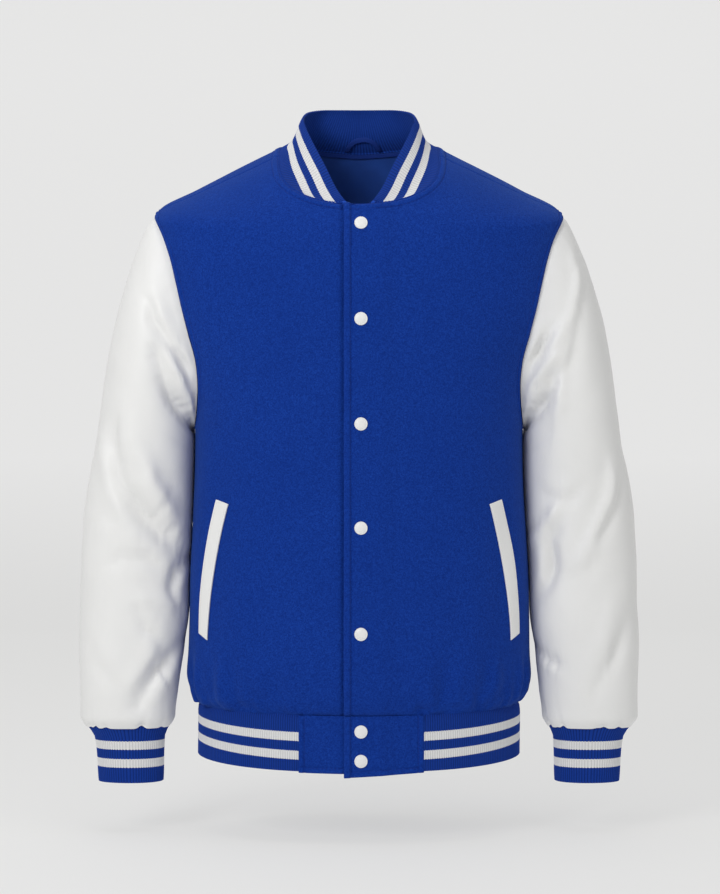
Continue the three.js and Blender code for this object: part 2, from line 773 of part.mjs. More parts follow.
// A place on the collar: part runs along the foot from one end round the back to the other
function collarRow(part, height) {
  const turn = collarTurn(Math.abs(part));
  const foot = neckFoot(turn, part < 0 ? 'right' : 'left');
  const rise = collarTop(turn).sub(foot.point);
  const around = neckPoint(turn + TURN_STEP).sub(neckPoint(turn - TURN_STEP));
  const face = around.cross(rise).normalize();
  const share = Math.min(height / COLLAR_WAIST, (1 - height) / (1 - COLLAR_WAIST));
  const roll = COLLAR_ROLL * share * Math.min(rise.length() / COLLAR_FULL, 1);
  const point = foot.point.addScaledVector(rise, lerp(HALF_GAP / rise.length(), 1, height));
  point.addScaledVector(face, roll);
  const out = foot.normal.lerp(face, Math.min(2 * height, 1)).normalize();
  if (part < 0) {
    point.x *= -1;
    out.x *= -1;
  }
  return { point, out };
}

function collarParts(count) {
  return evenSteps(-1, 1, count, (part) => collarRow(part, 0).point);
}

function collarWall(parts, heights, lift) {
  return heights.map((height) => parts.map((part, j) => {
    const row = collarRow(part, height);
    return row.point.addScaledVector(row.out, lift(j));
  }));
}

function collarGeometry() {
  const heights = [0, COLLAR_WAIST, 1];
  const outer = collarWall(collarParts(2 * COLLAR_RIBS), heights, (j) => RIB_RAISE * (j % 2));
  const inner = collarWall(collarParts(COLLAR_COLUMNS), heights, () => -RIB_WALL);
  return wallGeometry(outer, inner, false);
}

// A welt follows the front panel's own points, moved out
function weltGeometry(side) {
  const places = steps(0, WELT_ALONG).map((row) => {
    const part = row / WELT_ALONG;
    const bow = WELT_BOW * 4 * part * (1 - part);
    const [inner, outer] = WELT_EDGES.map((edge) => ({
      x: lerp(edge.topX, edge.endX, part) + bow,
      z: lerp(edge.topZ, edge.endZ, part),
    }));
    return steps(0, WELT_ACROSS).map((column) => {
      const level = lerp(inner.z, outer.z, column / WELT_ACROSS);
      const turn = side * turnAcross(lerp(inner.x, outer.x, column / WELT_ACROSS), level);
      return { turn, level, lift: SEAM_GAP + WELT_RAISE };
    });
  });
  return bodyWall(places, WELT_RAISE);
}

function snap(number, height) {
  const points = SNAP_PROFILE.map((at) => new THREE.Vector2(at.radius, at.up));
  const mesh = piece(`snap_${number}`, new THREE.LatheGeometry(points, SNAP_SIDES), SNAP_CAP);
  const level = levelAtFront(height);
  const turn = turnAcross(SNAP_X, level);
  mesh.position.copy(bodyPoint(turn, level, CLOTH + OVERLAP_GAP + SEAM_GAP));
  mesh.quaternion.setFromUnitVectors(new THREE.Vector3(0, 1, 0), bodyNormal(turn, level));
  return mesh;
}

// The lining follows the back's own points, moved in, up to its neckline
function liningGeometry() {
  const rows = backPlaces().slice(LINING_FIRST_ROW, LINING_LAST_ROW + 1);
  const places = rows.map((row, i) => row.slice(0, LINING_COLUMNS).map((at, j) => {
    const atNeck = j === 0 && i + LINING_FIRST_ROW >= ROWS_TO_NECK;
    const level = at.level - (atNeck ? LINING_DROP : 0);
    return { turn: at.turn, level, lift: at.lift - CLOTH - INSIDE_GAP };
  }));
  return backWall(places, TRIM, ROWS_TO_NECK - LINING_FIRST_ROW);
}

// The neck tape lies inside the lining, just below the neckline
function tapeGeometry() {
  const lift = -CLOTH - INSIDE_GAP - TRIM - TAPE_GAP;
  const half = steps(ROWS_TO_NECK, LINING_LAST_ROW).map((row) => centreChain(row));
  const other = half.slice(1).reverse().map((at) => ({ turn: 2 * HALF_TURN - at.turn, level: at.level }));
  const chain = [...other, ...half];
  const places = TAPE_DROPS.map((drop) => {
    return chain.map((at) => ({ turn: at.turn, level: at.level - drop, lift }));
  });
  return bodyWall(places, TRIM);
}

// Hanger loop: a tape bent to an arch, on the inside of the collar
function loopGeometry() {
  const row = (offset, lift) => steps(0, LOOP_STEPS).map((i) => {
    const angle = HALF_TURN * i / LOOP_STEPS;
    const part = LOOP_MIDDLE + LOOP_HALF * (1 - LOOP_NARROWS * offset) * Math.cos(angle);
    const rise = (LOOP_RISE - offset * LOOP_TAPE) * Math.sin(angle) ** LOOP_FULLNESS;
    const at = collarRow(part, LOOP_FOOT + rise);
    return at.point.addScaledVector(at.out, lift);
  });
  const near = -RIB_WALL - SEAM_GAP - LOOP_EASE;
  const outer = [row(0, near), row(1, near)];
  const inner = [row(0, near - TRIM), row(1, near - TRIM)];
  return wallGeometry(outer, inner, false);
}

const jacket = new THREE.Group();
jacket.name = 'varsity_jacket';
const overlap = CLOTH + OVERLAP_GAP;
jacket.add(piece('front_left', bodyWall(frontPlaces(1, OVERLAP_EDGE, overlap), CLOTH), WOOL));
jacket.add(piece('front_right', bodyWall(frontPlaces(-1, UNDERLAP_EDGE, 0), CLOTH), WOOL));
jacket.add(piece('back', backWall(backPlaces(), CLOTH, ROWS_TO_NECK), WOOL));
for (const side of ['left', 'right']) {
  jacket.add(piece(`sleeve_${side}`, sleeveGeometry(side), LEATHER));
  jacket.add(piece(`cuff_${side}`, cuffGeometry(side), KNIT));
}
jacket.add(piece('collar_rib', collarGeometry(), KNIT));
jacket.add(piece('hem_rib', hemGeometry(), KNIT));
jacket.add(piece('hem_tab_left', tabGeometry(1, OVERLAP_EDGE, TAB_LEFT_END, overlap), WOOL));
jacket.add(piece('hem_tab_right', tabGeometry(-1, UNDERLAP_EDGE, TAB_RIGHT_END, 0), WOOL));
jacket.add(piece('pocket_welt_left', weltGeometry(1), LEATHER));
jacket.add(piece('pocket_welt_right', weltGeometry(-1), LEATHER));
SNAP_HEIGHTS.forEach((height, i) => jacket.add(snap(i + 1, height)));
jacket.add(piece('neck_tape', tapeGeometry(), TAPE));
jacket.add(piece('back_lining', liningGeometry(), SATIN));
jacket.add(piece('hanger_loop', loopGeometry(), TAPE));

export default jacket;
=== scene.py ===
import math

import bpy
import numpy as np
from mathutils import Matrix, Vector, noise


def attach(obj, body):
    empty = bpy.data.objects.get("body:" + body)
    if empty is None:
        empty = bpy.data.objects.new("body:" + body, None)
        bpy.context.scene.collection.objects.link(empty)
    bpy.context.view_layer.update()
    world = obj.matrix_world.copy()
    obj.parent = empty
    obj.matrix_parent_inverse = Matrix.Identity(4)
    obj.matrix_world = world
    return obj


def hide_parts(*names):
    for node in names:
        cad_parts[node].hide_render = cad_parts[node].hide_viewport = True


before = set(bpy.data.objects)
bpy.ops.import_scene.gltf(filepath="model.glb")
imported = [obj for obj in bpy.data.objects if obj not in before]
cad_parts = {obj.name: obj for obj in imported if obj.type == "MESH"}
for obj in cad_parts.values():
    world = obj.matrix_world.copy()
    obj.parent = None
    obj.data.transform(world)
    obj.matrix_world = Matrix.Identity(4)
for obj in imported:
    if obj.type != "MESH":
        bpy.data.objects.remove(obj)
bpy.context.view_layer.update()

MM = 0.001
HALF_TURN = math.pi
QUARTER = math.pi / 2

CLOTH = 2.0
RIB_WALL = 2.8
TRIM = 1.0
INSIDE_GAP = 0.5
TAPE_GAP = 1.0
LOOP_EASE = 0.5
SEAM_GAP = 0.3
OVERLAP = 2.8
HEM_SEAM = -626
HEM_END = -688
HEM_SIDE_RISE = 4.5
HEM_SIDE_SHORT = 4.5
HEM_SIDE_TUCK = 5.9
TAB_END = -692
OVERLAP_EDGE = -16.5
UNDERLAP_EDGE = -14
OVERLAP_FLAT = 22
OVERLAP_SLOPE_END = 44
TAB_RIGHT_END = 66.3
TAB_LEFT_END = 71.5
SHOULDER_SEAM_Y = -8

NECK_FRONT = -22
NECK_BACK = -15
NECK_SIDE = 8
NECK_ROUNDNESS = 1.3
COLLAR_END_X = 13
COLLAR_ROLL = -6
COLLAR_FULL = 45

ARMHOLE_TOP = -64
ARMHOLE_END = -308
ARMHOLE_FRONT = 60
ARMHOLE_BACK = 70
ARMHOLE_FULLNESS = 0.85
SLEEVE_SQUARE = 2.2
SLEEVE_LEAVES = 0.75
SLEEVE_END = 19

ROWS_TO_UNDERARM = 11
ROWS_TO_NECK = 18
ROWS_TO_SHOULDER = 23
LINING_FIRST_ROW = 13
LINING_LAST_ROW = 22
LINING_REACH = 0.79
TAPE_DROPS = (1.4, 5.6)

RIB_RAISE = 0.55
HEM_RIBS = 318
CUFF_RIBS = 78
CUFF_CREASES = 15
COLLAR_RIBS = 165

SNAP_X = 2.2
SNAP_HEIGHTS = (-84, -189.5, -304.7, -419, -535.3, -643, -675.3)


def table(columns, rows):
    return dict(zip(columns, np.array(rows, float).T))


BODY = table(("level", "half_width", "front", "back", "square", "tilt"), [
    (8, 92, 83, 71, 2.2, 0.45),
    (-15, 140, 95, 80, 2.25, 0.42),
    (-40, 192, 103, 92, 2.3, 0.33),
    (-57, 228, 107, 99, 2.3, 0.27),
    (-66, 235, 109, 102, 2.3, 0.24),
    (-86, 233, 112, 107, 2.35, 0.18),
    (-109, 231, 114.5, 112, 2.4, 0.12),
    (-132, 229, 117, 116, 2.4, 0.08),
    (-167, 223, 119, 119, 2.4, 0.04),
    (-201, 213, 120, 120, 2.4, 0),
    (-236, 199, 120, 119, 2.4, 0),
    (-270, 191, 120, 117, 2.4, 0),
    (-307, 187.5, 119.5, 114, 2.4, 0),
    (-340, 188, 119, 111, 2.4, 0),
    (-400, 190, 118.5, 108, 2.4, 0),
    (-455, 193, 119, 108, 2.4, 0),
    (-500, 194.5, 120, 111, 2.4, 0),
    (-570, 195.5, 121, 115, 2.4, 0),
    (-590, 196, 120.5, 115, 2.4, 0),
    (-610, 193, 118, 112, 2.4, 0),
    (-626, 184, 113, 107, 2.4, 0),
    (-695, 184, 113, 107, 2.4, 0),
])

SLEEVE_COLUMNS = ("row", "out_x", "out_z", "in_x", "in_z", "front", "back", "forward")
SLEEVE = table(SLEEVE_COLUMNS, [
    (0, 234.7, -64.4, 187.8, -307.6, 60, 70, 0),
    (1, 242, -75, 189.8, -310.5, 63, 71, 0),
    (2, 251, -95, 191, -313.5, 66, 72, 0),
    (3, 261, -120, 191.5, -316.5, 67, 72, 0),
    (4, 270, -150, 192, -320, 68, 72, 0),
    (5, 278, -180, 192, -324, 68, 72, 0),
    (6, 285, -212, 192, -328, 68, 72, 0),
    (7, 291, -247, 192, -334, 67, 71, 0),
    (8, 297, -290, 190, -343, 66, 69, 0),
    (9, 301, -325, 190.4, -357, 64, 67, 1),
    (10, 307, -355, 191, -376, 61, 64, 2),
    (11, 312, -385, 191.8, -399, 58, 61, 4),
    (12, 316, -420, 193.2, -428, 55, 57, 6),
    (13, 318, -460, 195, -465, 53, 53, 8),
    (14, 318.5, -505, 197, -508, 51, 50, 10),
    (15, 320, -548, 200.5, -549, 49, 47, 12),
    (16, 319, -590, 204.5, -590, 46, 43, 14),
    (17, 318.5, -619, 207.5, -619, 43, 40, 15),
    (18, 317, -636, 210, -636, 40, 37, 16),
    (19, 311, -647, 216, -647, 34, 32, 16),
])
CUFF = table(SLEEVE_COLUMNS, [
    (-1, 308, -642, 220, -642, 30, 28, 16),
    (0, 310.5, -646.6, 216, -646.6, 33, 31, 16),
    (1, 301.5, -659, 222, -659, 29, 28, 16),
    (2, 296.5, -710, 223.8, -710, 27.5, 27, 17),
])
COLLAR_TOP = table(("turn", "x", "y", "z"), [
    (0, 6, -98, -66),
    (6, 13.5, -96.5, -59),
    (20, 24.5, -81, -43),
    (40, 38, -59, -14),
    (60, 51, -35, 13),
    (80, 61, -11, 36),
    (100, 65, 12, 50),
    (120, 59, 36, 60),
    (150, 37, 58, 66),
    (180, 0, 66, 67),
])

# Long edges of a welt in the front view, bowed towards the side: their top and lower ends
WELT_INNER = ((144.8, -393.5), (169, -546.5))
WELT_OUTER = ((159, -388.5), (178.5, -539.5))
WELT_BOW = 5
WELT_RAISE = 2.2

# Folds of the sleeves, on the front (-1) or back (1) face: a path of front-view places, how far it is raised,
# how wide it spreads, and the side that its softer opposite wave lies on
FOLDS_RIGHT = (
    (-1, ((238, -162), (224, -198), (206, -223), (185, -250)), -5.5, 7.5, 1),
    (-1, ((227, -221), (220, -245), (211, -270), (197, -293), (182, -318)), -9.5, 9, 1),
    (-1, ((213, -221), (200, -254), (184, -288)), 3, 7, 1),
    (-1, ((292, -318), (285, -356), (272, -390), (254, -417)), 3.6, 12, 1),
    (-1, ((277, -306), (276, -336), (267, -367), (250, -394), (231, -417), (211, -437), (195, -455)),
     -9, 11, 1),
    (-1, ((249, -322), (233, -365), (215, -399), (191, -428)), 6, 12, 1),
    (-1, ((301, -424), (272, -426), (245, -435)), 2.5, 14, 1),
    (-1, ((285, -461), (261, -453), (236, -457), (215, -471)), -3.6, 7, 1),
    (-1, ((193, -453), (205, -473), (210, -494), (202, -518)), -6, 9, 1),
    (-1, ((254, -503), (227, -499), (204, -509)), 3, 8, 1),
    (-1, ((252, -509), (240, -530), (220, -554)), -3.4, 8, 1),
    (-1, ((200, -545), (218, -575), (236, -600), (252, -624)), -7.5, 10, 1),
    (-1, ((227, -543), (243, -575), (263, -606)), 3.5, 12, 1),
    (-1, ((308, -548), (292, -576), (272, -604)), -1.6, 10, 1),
    (1, ((292, -330), (262, -372), (225, -405)), -5.5, 13, 1),
    (1, ((300, -398), (262, -424), (215, -440)), 5.5, 13, 1),
    (1, ((232, -520), (262, -546), (290, -580)), -5, 12, 1),
    (1, ((240, -150), (226, -210), (208, -262)), -4.5, 11, -1),
    (1, ((282, -210), (264, -262), (230, -312)), -4, 10, 1),
    (1, ((214, -470), (250, -486), (296, -492)), -3.5, 10, 1),
    (1, ((300, -560), (280, -592), (240, -622)), -3.5, 10, -1),
    (1, ((204, -350), (224, -384), (262, -400)), 3, 11, 1),
)
FOLDS_LEFT = (
    (-1, ((240, -106), (246, -142), (240, -173), (227, -203), (210, -223)), 3.5, 9, 1),
    (-1, ((254, -153), (246, -198), (238, -238), (230, -277)), -2.5, 9, 1),
    (-1, ((215, -196), (205, -215), (192, -234), (175, -252)), -8, 7, 1),
    (-1, ((224, -225), (206, -243), (188, -268)), 4.5, 7, 1),
    (-1, ((219, -248), (212, -268), (201, -286), (182, -313)), -9.5, 8.5, 1),
    (-1, ((233, -243), (224, -279), (220, -322)), 3, 9, 1),
    (-1, ((285, -345), (283, -381), (272, -412), (258, -442), (243, -460)), 4.6, 9, 1),
    (-1, ((298, -365), (289, -399), (275, -424), (258, -448)), -3.6, 8, 1),
    (-1, ((254, -372), (229, -390), (206, -381)), -3.4, 9, 1),
    (-1, ((229, -388), (211, -419), (188, -446)), 4.5, 8, 1),
    (-1, ((223, -415), (215, -439), (214, -469), (203, -500)), -9, 10, 1),
    (-1, ((305, -518), (294, -552), (279, -579), (264, -609)), -4.4, 10, 1),
    (-1, ((285, -503), (276, -539), (258, -577)), 2, 11, 1),
    (-1, ((200, -554), (213, -570), (233, -580)), -3.5, 6, 1),
    (-1, ((274, -455), (255, -469), (231, -477)), -1.6, 7, 1),
    (1, ((295, -325), (260, -358), (220, -385)), 5.5, 13, 1),
    (1, ((300, -395), (264, -430), (225, -455)), -6, 12, 1),
    (1, ((225, -545), (254, -570), (285, -590)), -4.5, 12, 1),
    (1, ((242, -140), (226, -196), (206, -250)), -4.5, 11, -1),
    (1, ((286, -214), (258, -268), (228, -308)), -4, 10, 1),
    (1, ((220, -486), (256, -500), (300, -500)), -3.5, 10, 1),
    (1, ((206, -398), (232, -428), (268, -444)), 3, 11, 1),
)

# Soft folds of the body: front-view paths, on the front or the back face
BODY_FOLDS = (
    (-1, ((-150, -320), (-158, -420), (-166, -560)), -1.5, 20, 1),
    (-1, ((152, -322), (160, -430), (150, -600)), -1.5, 20, -1),
    (-1, ((-120, -470), (-112, -540), (-98, -618)), -1.3, 17, 1),
    (-1, ((112, -480), (104, -550), (92, -618)), -1.3, 17, -1),
    (-1, ((-124, -594), (-110, -606), (-98, -619)), -1.9, 8, 1),
    (-1, ((-78, -600), (-70, -610), (-66, -620)), -1.2, 7, 1),
    (-1, ((88, -598), (98, -608), (104, -620)), -1.5, 8, 1),
    (-1, ((-176, -300), (-148, -322), (-108, -334)), -1.2, 14, 1),
    (-1, ((176, -300), (150, -320), (112, -330)), -1.2, 14, -1),
    (1, ((-170, -292), (-128, -330), (-70, -352)), -1.8, 17, 1),
    (1, ((170, -292), (132, -326), (74, -346)), -1.8, 17, -1),
    (1, ((-128, -360), (-136, -470), (-124, -610)), -2.0, 22, 1),
    (1, ((128, -372), (134, -480), (128, -606)), -2.0, 22, -1),
    (1, ((-58, -120), (-52, -240), (-62, -420)), -1.2, 26, 1),
    (1, ((60, -130), (50, -250), (58, -430)), -1.2, 26, -1),
    (1, ((-70, -500), (-66, -560), (-76, -612)), -1.6, 15, 1),
    (1, ((20, -480), (24, -550), (18, -614)), -1.4, 17, -1),
)


def lerp(a, b, part):
    return a + (b - a) * part


def ramp(low, high, value):
    part = np.clip((value - low) / (high - low), 0, 1)
    return part * part * (3 - 2 * part)


def signed_power(value, power):
    return np.sign(value) * np.abs(value) ** power


def between(rows, key, column, at):
    """A value between the rows of a table, smooth and with no overshoot."""
    keys, values = rows[key], rows[column]
    rise = np.diff(values) / np.diff(keys)
    before, after = np.append(rise[0], rise), np.append(rise, rise[-1])
    turning = before * after <= 0
    slope = np.where(turning, 0, 2 * before * after / np.where(turning, 1, before + after))
    way = np.sign(keys[-1] - keys[0])
    i = np.clip(np.searchsorted(keys * way, np.asarray(at) * way, side="left") - 1, 0, len(keys) - 2)
    span = keys[i + 1] - keys[i]
    part = np.clip((at - keys[i]) / span, 0, 1)
    step = values[i + 1] - values[i]
    a, b = slope[i] * span, slope[i + 1] * span
    return values[i] + part * (a + part * (3 * step - 2 * a - b + part * (a + b - 2 * step)))


def length_of(vectors):
    return np.sqrt((vectors ** 2).sum(-1))


def unit(vectors):
    return vectors / np.maximum(length_of(vectors), 1e-9)[..., None]


# The body's surface: turn goes round from the centre front, and level from the neck to the hem
def body_surface(turn, level):
    turn, level = np.broadcast_arrays(turn, level)
    power = 2 / between(BODY, "level", "square", level)
    front, back = between(BODY, "level", "front", level), between(BODY, "level", "back", level)
    depth = np.where(np.cos(turn) > 0, front, back)
    x = between(BODY, "level", "half_width", level) * signed_power(np.sin(turn), power)
    y = -depth * signed_power(np.cos(turn), power)
    side_rise = HEM_SIDE_RISE * (1 - np.abs(np.cos(turn)) ** 1.5) * ramp(-520, HEM_SEAM, level)
    return np.stack([x, y, level + between(BODY, "level", "tilt", level) * y + side_rise], -1)


def body_normal(turn, level):
    around = body_surface(turn + 0.02, level) - body_surface(turn - 0.02, level)
    up = body_surface(turn, level + 1.0) - body_surface(turn, level - 1.0)
    return unit(np.cross(around, up))


def body_point(turn, level, lift):
    turn, level, lift = np.broadcast_arrays(turn, level, lift)
    return body_surface(turn, level) + body_normal(turn, level) * lift[..., None]


def turn_across(x, level):
    """The turn at which a level of the front has a given x."""
    share = np.clip(x / between(BODY, "level", "half_width", level), -1, 1)
    return np.arcsin(signed_power(share, between(BODY, "level", "square", level) / 2))


def turn_at_depth(y, level):
    """The turn at which a level has a given y, on the wearer's left side."""
    depth = np.where(y < 0, between(BODY, "level", "front", level), between(BODY, "level", "back", level))
    return np.arccos(signed_power(np.clip(-y / depth, -1, 1), between(BODY, "level", "square", level) / 2))


def level_at_front(z):
    """The level whose ring passes the centre front at a given height."""
    level = z
    for _ in range(12):
        level = z + between(BODY, "level", "tilt", level) * between(BODY, "level", "front", level)
    return level


def neck_level(turn):
    base = lerp(NECK_FRONT, NECK_BACK, (1 - np.cos(turn)) / 2)
    return lerp(base, NECK_SIDE, np.abs(np.sin(turn)) ** NECK_ROUNDNESS)


def armhole_place(angle, face, inset=0.0):
    """A place on the armhole, from 0 at the shoulder to a half turn at the underarm."""
    height = (ARMHOLE_TOP - ARMHOLE_END) / 2 - inset
    level = (ARMHOLE_TOP + ARMHOLE_END) / 2 + height * np.cos(angle)
    depth = np.where(face < 0, ARMHOLE_FRONT, ARMHOLE_BACK) - inset
    middle = SHOULDER_SEAM_Y * (1 + np.cos(angle)) / 2
    y = middle + face * depth * np.abs(np.sin(angle)) ** ARMHOLE_FULLNESS
    return turn_at_depth(y, level), level


def armhole_angle(row):
    lower = lerp(HALF_TURN, HALF_TURN / 4, (row - ROWS_TO_UNDERARM) / (ROWS_TO_NECK - ROWS_TO_UNDERARM))
    upper = HALF_TURN / 4 * (ROWS_TO_SHOULDER - row) / (ROWS_TO_SHOULDER - ROWS_TO_NECK)
    return np.where(row <= ROWS_TO_NECK, lower, upper)


# Chains of places up a panel's two long edges, by row
def side_chain(row, face):
    below = row <= ROWS_TO_UNDERARM
    turn, level = armhole_place(armhole_angle(np.maximum(row, ROWS_TO_UNDERARM)), face)
    seam_level = lerp(HEM_SEAM, ARMHOLE_END, row / ROWS_TO_UNDERARM)
    return np.where(below, QUARTER, turn), np.where(below, seam_level, level)


def edge_chain(row, edge_x):
    corner = turn_across(edge_x, NECK_FRONT)
    collar_end = turn_across(COLLAR_END_X, NECK_FRONT)
    shoulder = turn_at_depth(SHOULDER_SEAM_Y, NECK_SIDE)
    up_level = lerp(HEM_SEAM, neck_level(corner), np.minimum(row / ROWS_TO_NECK, 1))
    rows_at_neck = [ROWS_TO_NECK, ROWS_TO_NECK + 1, ROWS_TO_SHOULDER]
    neck_turn = np.interp(row, rows_at_neck, [corner, collar_end, shoulder])
    below = row <= ROWS_TO_NECK
    return (np.where(below, turn_across(edge_x, up_level), neck_turn),
            np.where(below, up_level, neck_level(neck_turn)))


def centre_chain(row):
    shoulder = turn_at_depth(SHOULDER_SEAM_Y, NECK_SIDE)
    up_level = lerp(HEM_SEAM, NECK_BACK, np.minimum(row / ROWS_TO_NECK, 1))
    neck_turn = np.interp(row, [ROWS_TO_NECK, ROWS_TO_SHOULDER], [HALF_TURN, shoulder])
    below = row <= ROWS_TO_NECK
    return np.where(below, HALF_TURN, neck_turn), np.where(below, up_level, neck_level(neck_turn))


def panel_places(near, far, rows, parts):
    """Turns and levels of a panel's grid, ruled between two chains, up to the shoulder seam."""
    (near_turn, near_level), (far_turn, far_level) = near(rows), far(rows)
    turn = lerp(near_turn[:, None], far_turn[:, None], parts)
    level = lerp(near_level[:, None], far_level[:, None], parts)
    seam_level = lerp(NECK_SIDE, ARMHOLE_TOP, parts)
    seam_turn = turn_at_depth(SHOULDER_SEAM_Y, seam_level)
    share = np.clip(rows - (ROWS_TO_SHOULDER - 1), 0, 1)[:, None]
    return lerp(turn, seam_turn, share), lerp(level, seam_level, share)


def closer_at_ends(count, crowding):
    """Steps from 0 to 1 that lie closer together towards both ends."""
    even = np.linspace(0, 1, count)
    return even - crowding * np.sin(2 * HALF_TURN * even) / (2 * HALF_TURN)


def distance_to(points, line):
    """How far points lie from a line of many points, which part of it is nearest, and the way to it."""
    flat = points.reshape(-1, 3)
    start, way = line[:-1], np.diff(line, axis=0)
    nearest, part, offset = np.full(len(flat), np.inf), np.zeros(len(flat)), np.zeros_like(flat)
    heading = np.zeros_like(flat)
    for i in range(len(start)):
        along = np.clip(((flat - start[i]) @ way[i]) / max(way[i] @ way[i], 1e-9), 0, 1)
        gap = flat - start[i] - along[:, None] * way[i]
        far = length_of(gap)
        closer = far < nearest
        nearest = np.where(closer, far, nearest)
        part = np.where(closer, (i + along) / len(start), part)
        offset[closer] = gap[closer]
        heading[closer] = way[i]
    shape = points.shape[:-1]
    offset, heading = offset.reshape(points.shape), heading.reshape(points.shape)
    return nearest.reshape(shape), part.reshape(shape), offset, heading


def soft_noise(points, size, seed):
    """Smooth unevenness from about -1 to 1, with waves of the given size."""
    flat = points.reshape(-1, 3) / size + seed
    return np.array([noise.noise(Vector(p)) for p in flat]).reshape(points.shape[:-1])


def smooth_path(corners, count=14):
    """A curve through a few corners."""
    corners = np.array(corners, float)
    padded = np.vstack([2 * corners[0] - corners[1], corners, 2 * corners[-1] - corners[-2]])
    path = []
    for a, b, c, d in zip(padded, padded[1:], padded[2:], padded[3:]):
        for t in np.linspace(0, 1, count, endpoint=False):
            third = 1.5 * (b - c) + (d - a) / 2
            path.append(b + t * ((c - a) / 2 + t * (a - 2.5 * b + 2 * c - d / 2 + t * third)))
    return np.array([*path, corners[-1]])


def fold_lift(points, normals, paths):
    """Soft uneven troughs and ridges along paths, each with an opposite wave on one side."""
    lift = np.zeros(points.shape[:-1])
    for number, (path, raise_by, reach, lean) in enumerate(paths):
        far, part, offset, heading = distance_to(points, path)
        across = (np.cross(unit(heading), normals) * offset).sum(-1) * lean
        fade = np.sin(HALF_TURN * (0.06 + 0.88 * part)) ** 0.8
        uneven = 1 + 0.3 * np.sin(9.0 * part + 2.1 * number)
        sharp = reach * np.where(across > 0, 0.7, 1.0)
        main = np.exp(-(far / sharp) ** 2)
        along = far ** 2 - across ** 2
        other = np.exp(-((across - 1.6 * reach) / reach) ** 2 - np.maximum(along, 0) / reach ** 2)
        lift += raise_by * fade * uneven * (main - 0.25 * other)
    return lift


# Lines of seams on the body, for the wearer's left side
ROW_STEPS = np.linspace(0, 1, 90)
ARMHOLE_FRONT_LINE = body_surface(*armhole_place(HALF_TURN * ROW_STEPS, -1))
ARMHOLE_BACK_LINE = body_surface(*armhole_place(HALF_TURN * ROW_STEPS, 1))
NECK_TURNS = lerp(turn_across(OVERLAP_EDGE, NECK_FRONT), HALF_TURN, ROW_STEPS)
NECK_LINE = body_surface(NECK_TURNS, neck_level(NECK_TURNS))
SHOULDER_LEVELS = lerp(NECK_SIDE, ARMHOLE_TOP, ROW_STEPS)
SHOULDER_LINE = body_surface(turn_at_depth(SHOULDER_SEAM_Y, SHOULDER_LEVELS), SHOULDER_LEVELS)
EDGE_LEVELS = lerp(NECK_FRONT, TAB_END, ROW_STEPS)


def edge_line(edge_x):
    return body_surface(turn_across(edge_x, EDGE_LEVELS), EDGE_LEVELS)


def body_fold_paths(face):
    paths = []
    for fold_face, corners, raise_by, reach, lean in BODY_FOLDS:
        if fold_face == face:
            path = smooth_path(corners)
            turn = turn_across(path[:, 0], path[:, 1])
            turn = turn if face < 0 else HALF_TURN - turn
            paths.append((body_surface(turn, path[:, 1]), raise_by, reach, lean))
    return paths


def flap(distance, width, height):
    """A turned-in allowance that raises the cloth beside a seam, up to its stitching."""
    return height * ramp(-0.5, 2.0, distance) * (1 - ramp(width - 0.8, width + 2.6, distance))


def stitched(distance, at):
    return -0.7 * np.exp(-((distance - at) / 1.1) ** 2)


ARMHOLE_STITCHES = (1.8, 6.8)
NECK_STITCHES = (1.6, 8.6)
EDGE_STITCH = 7.4


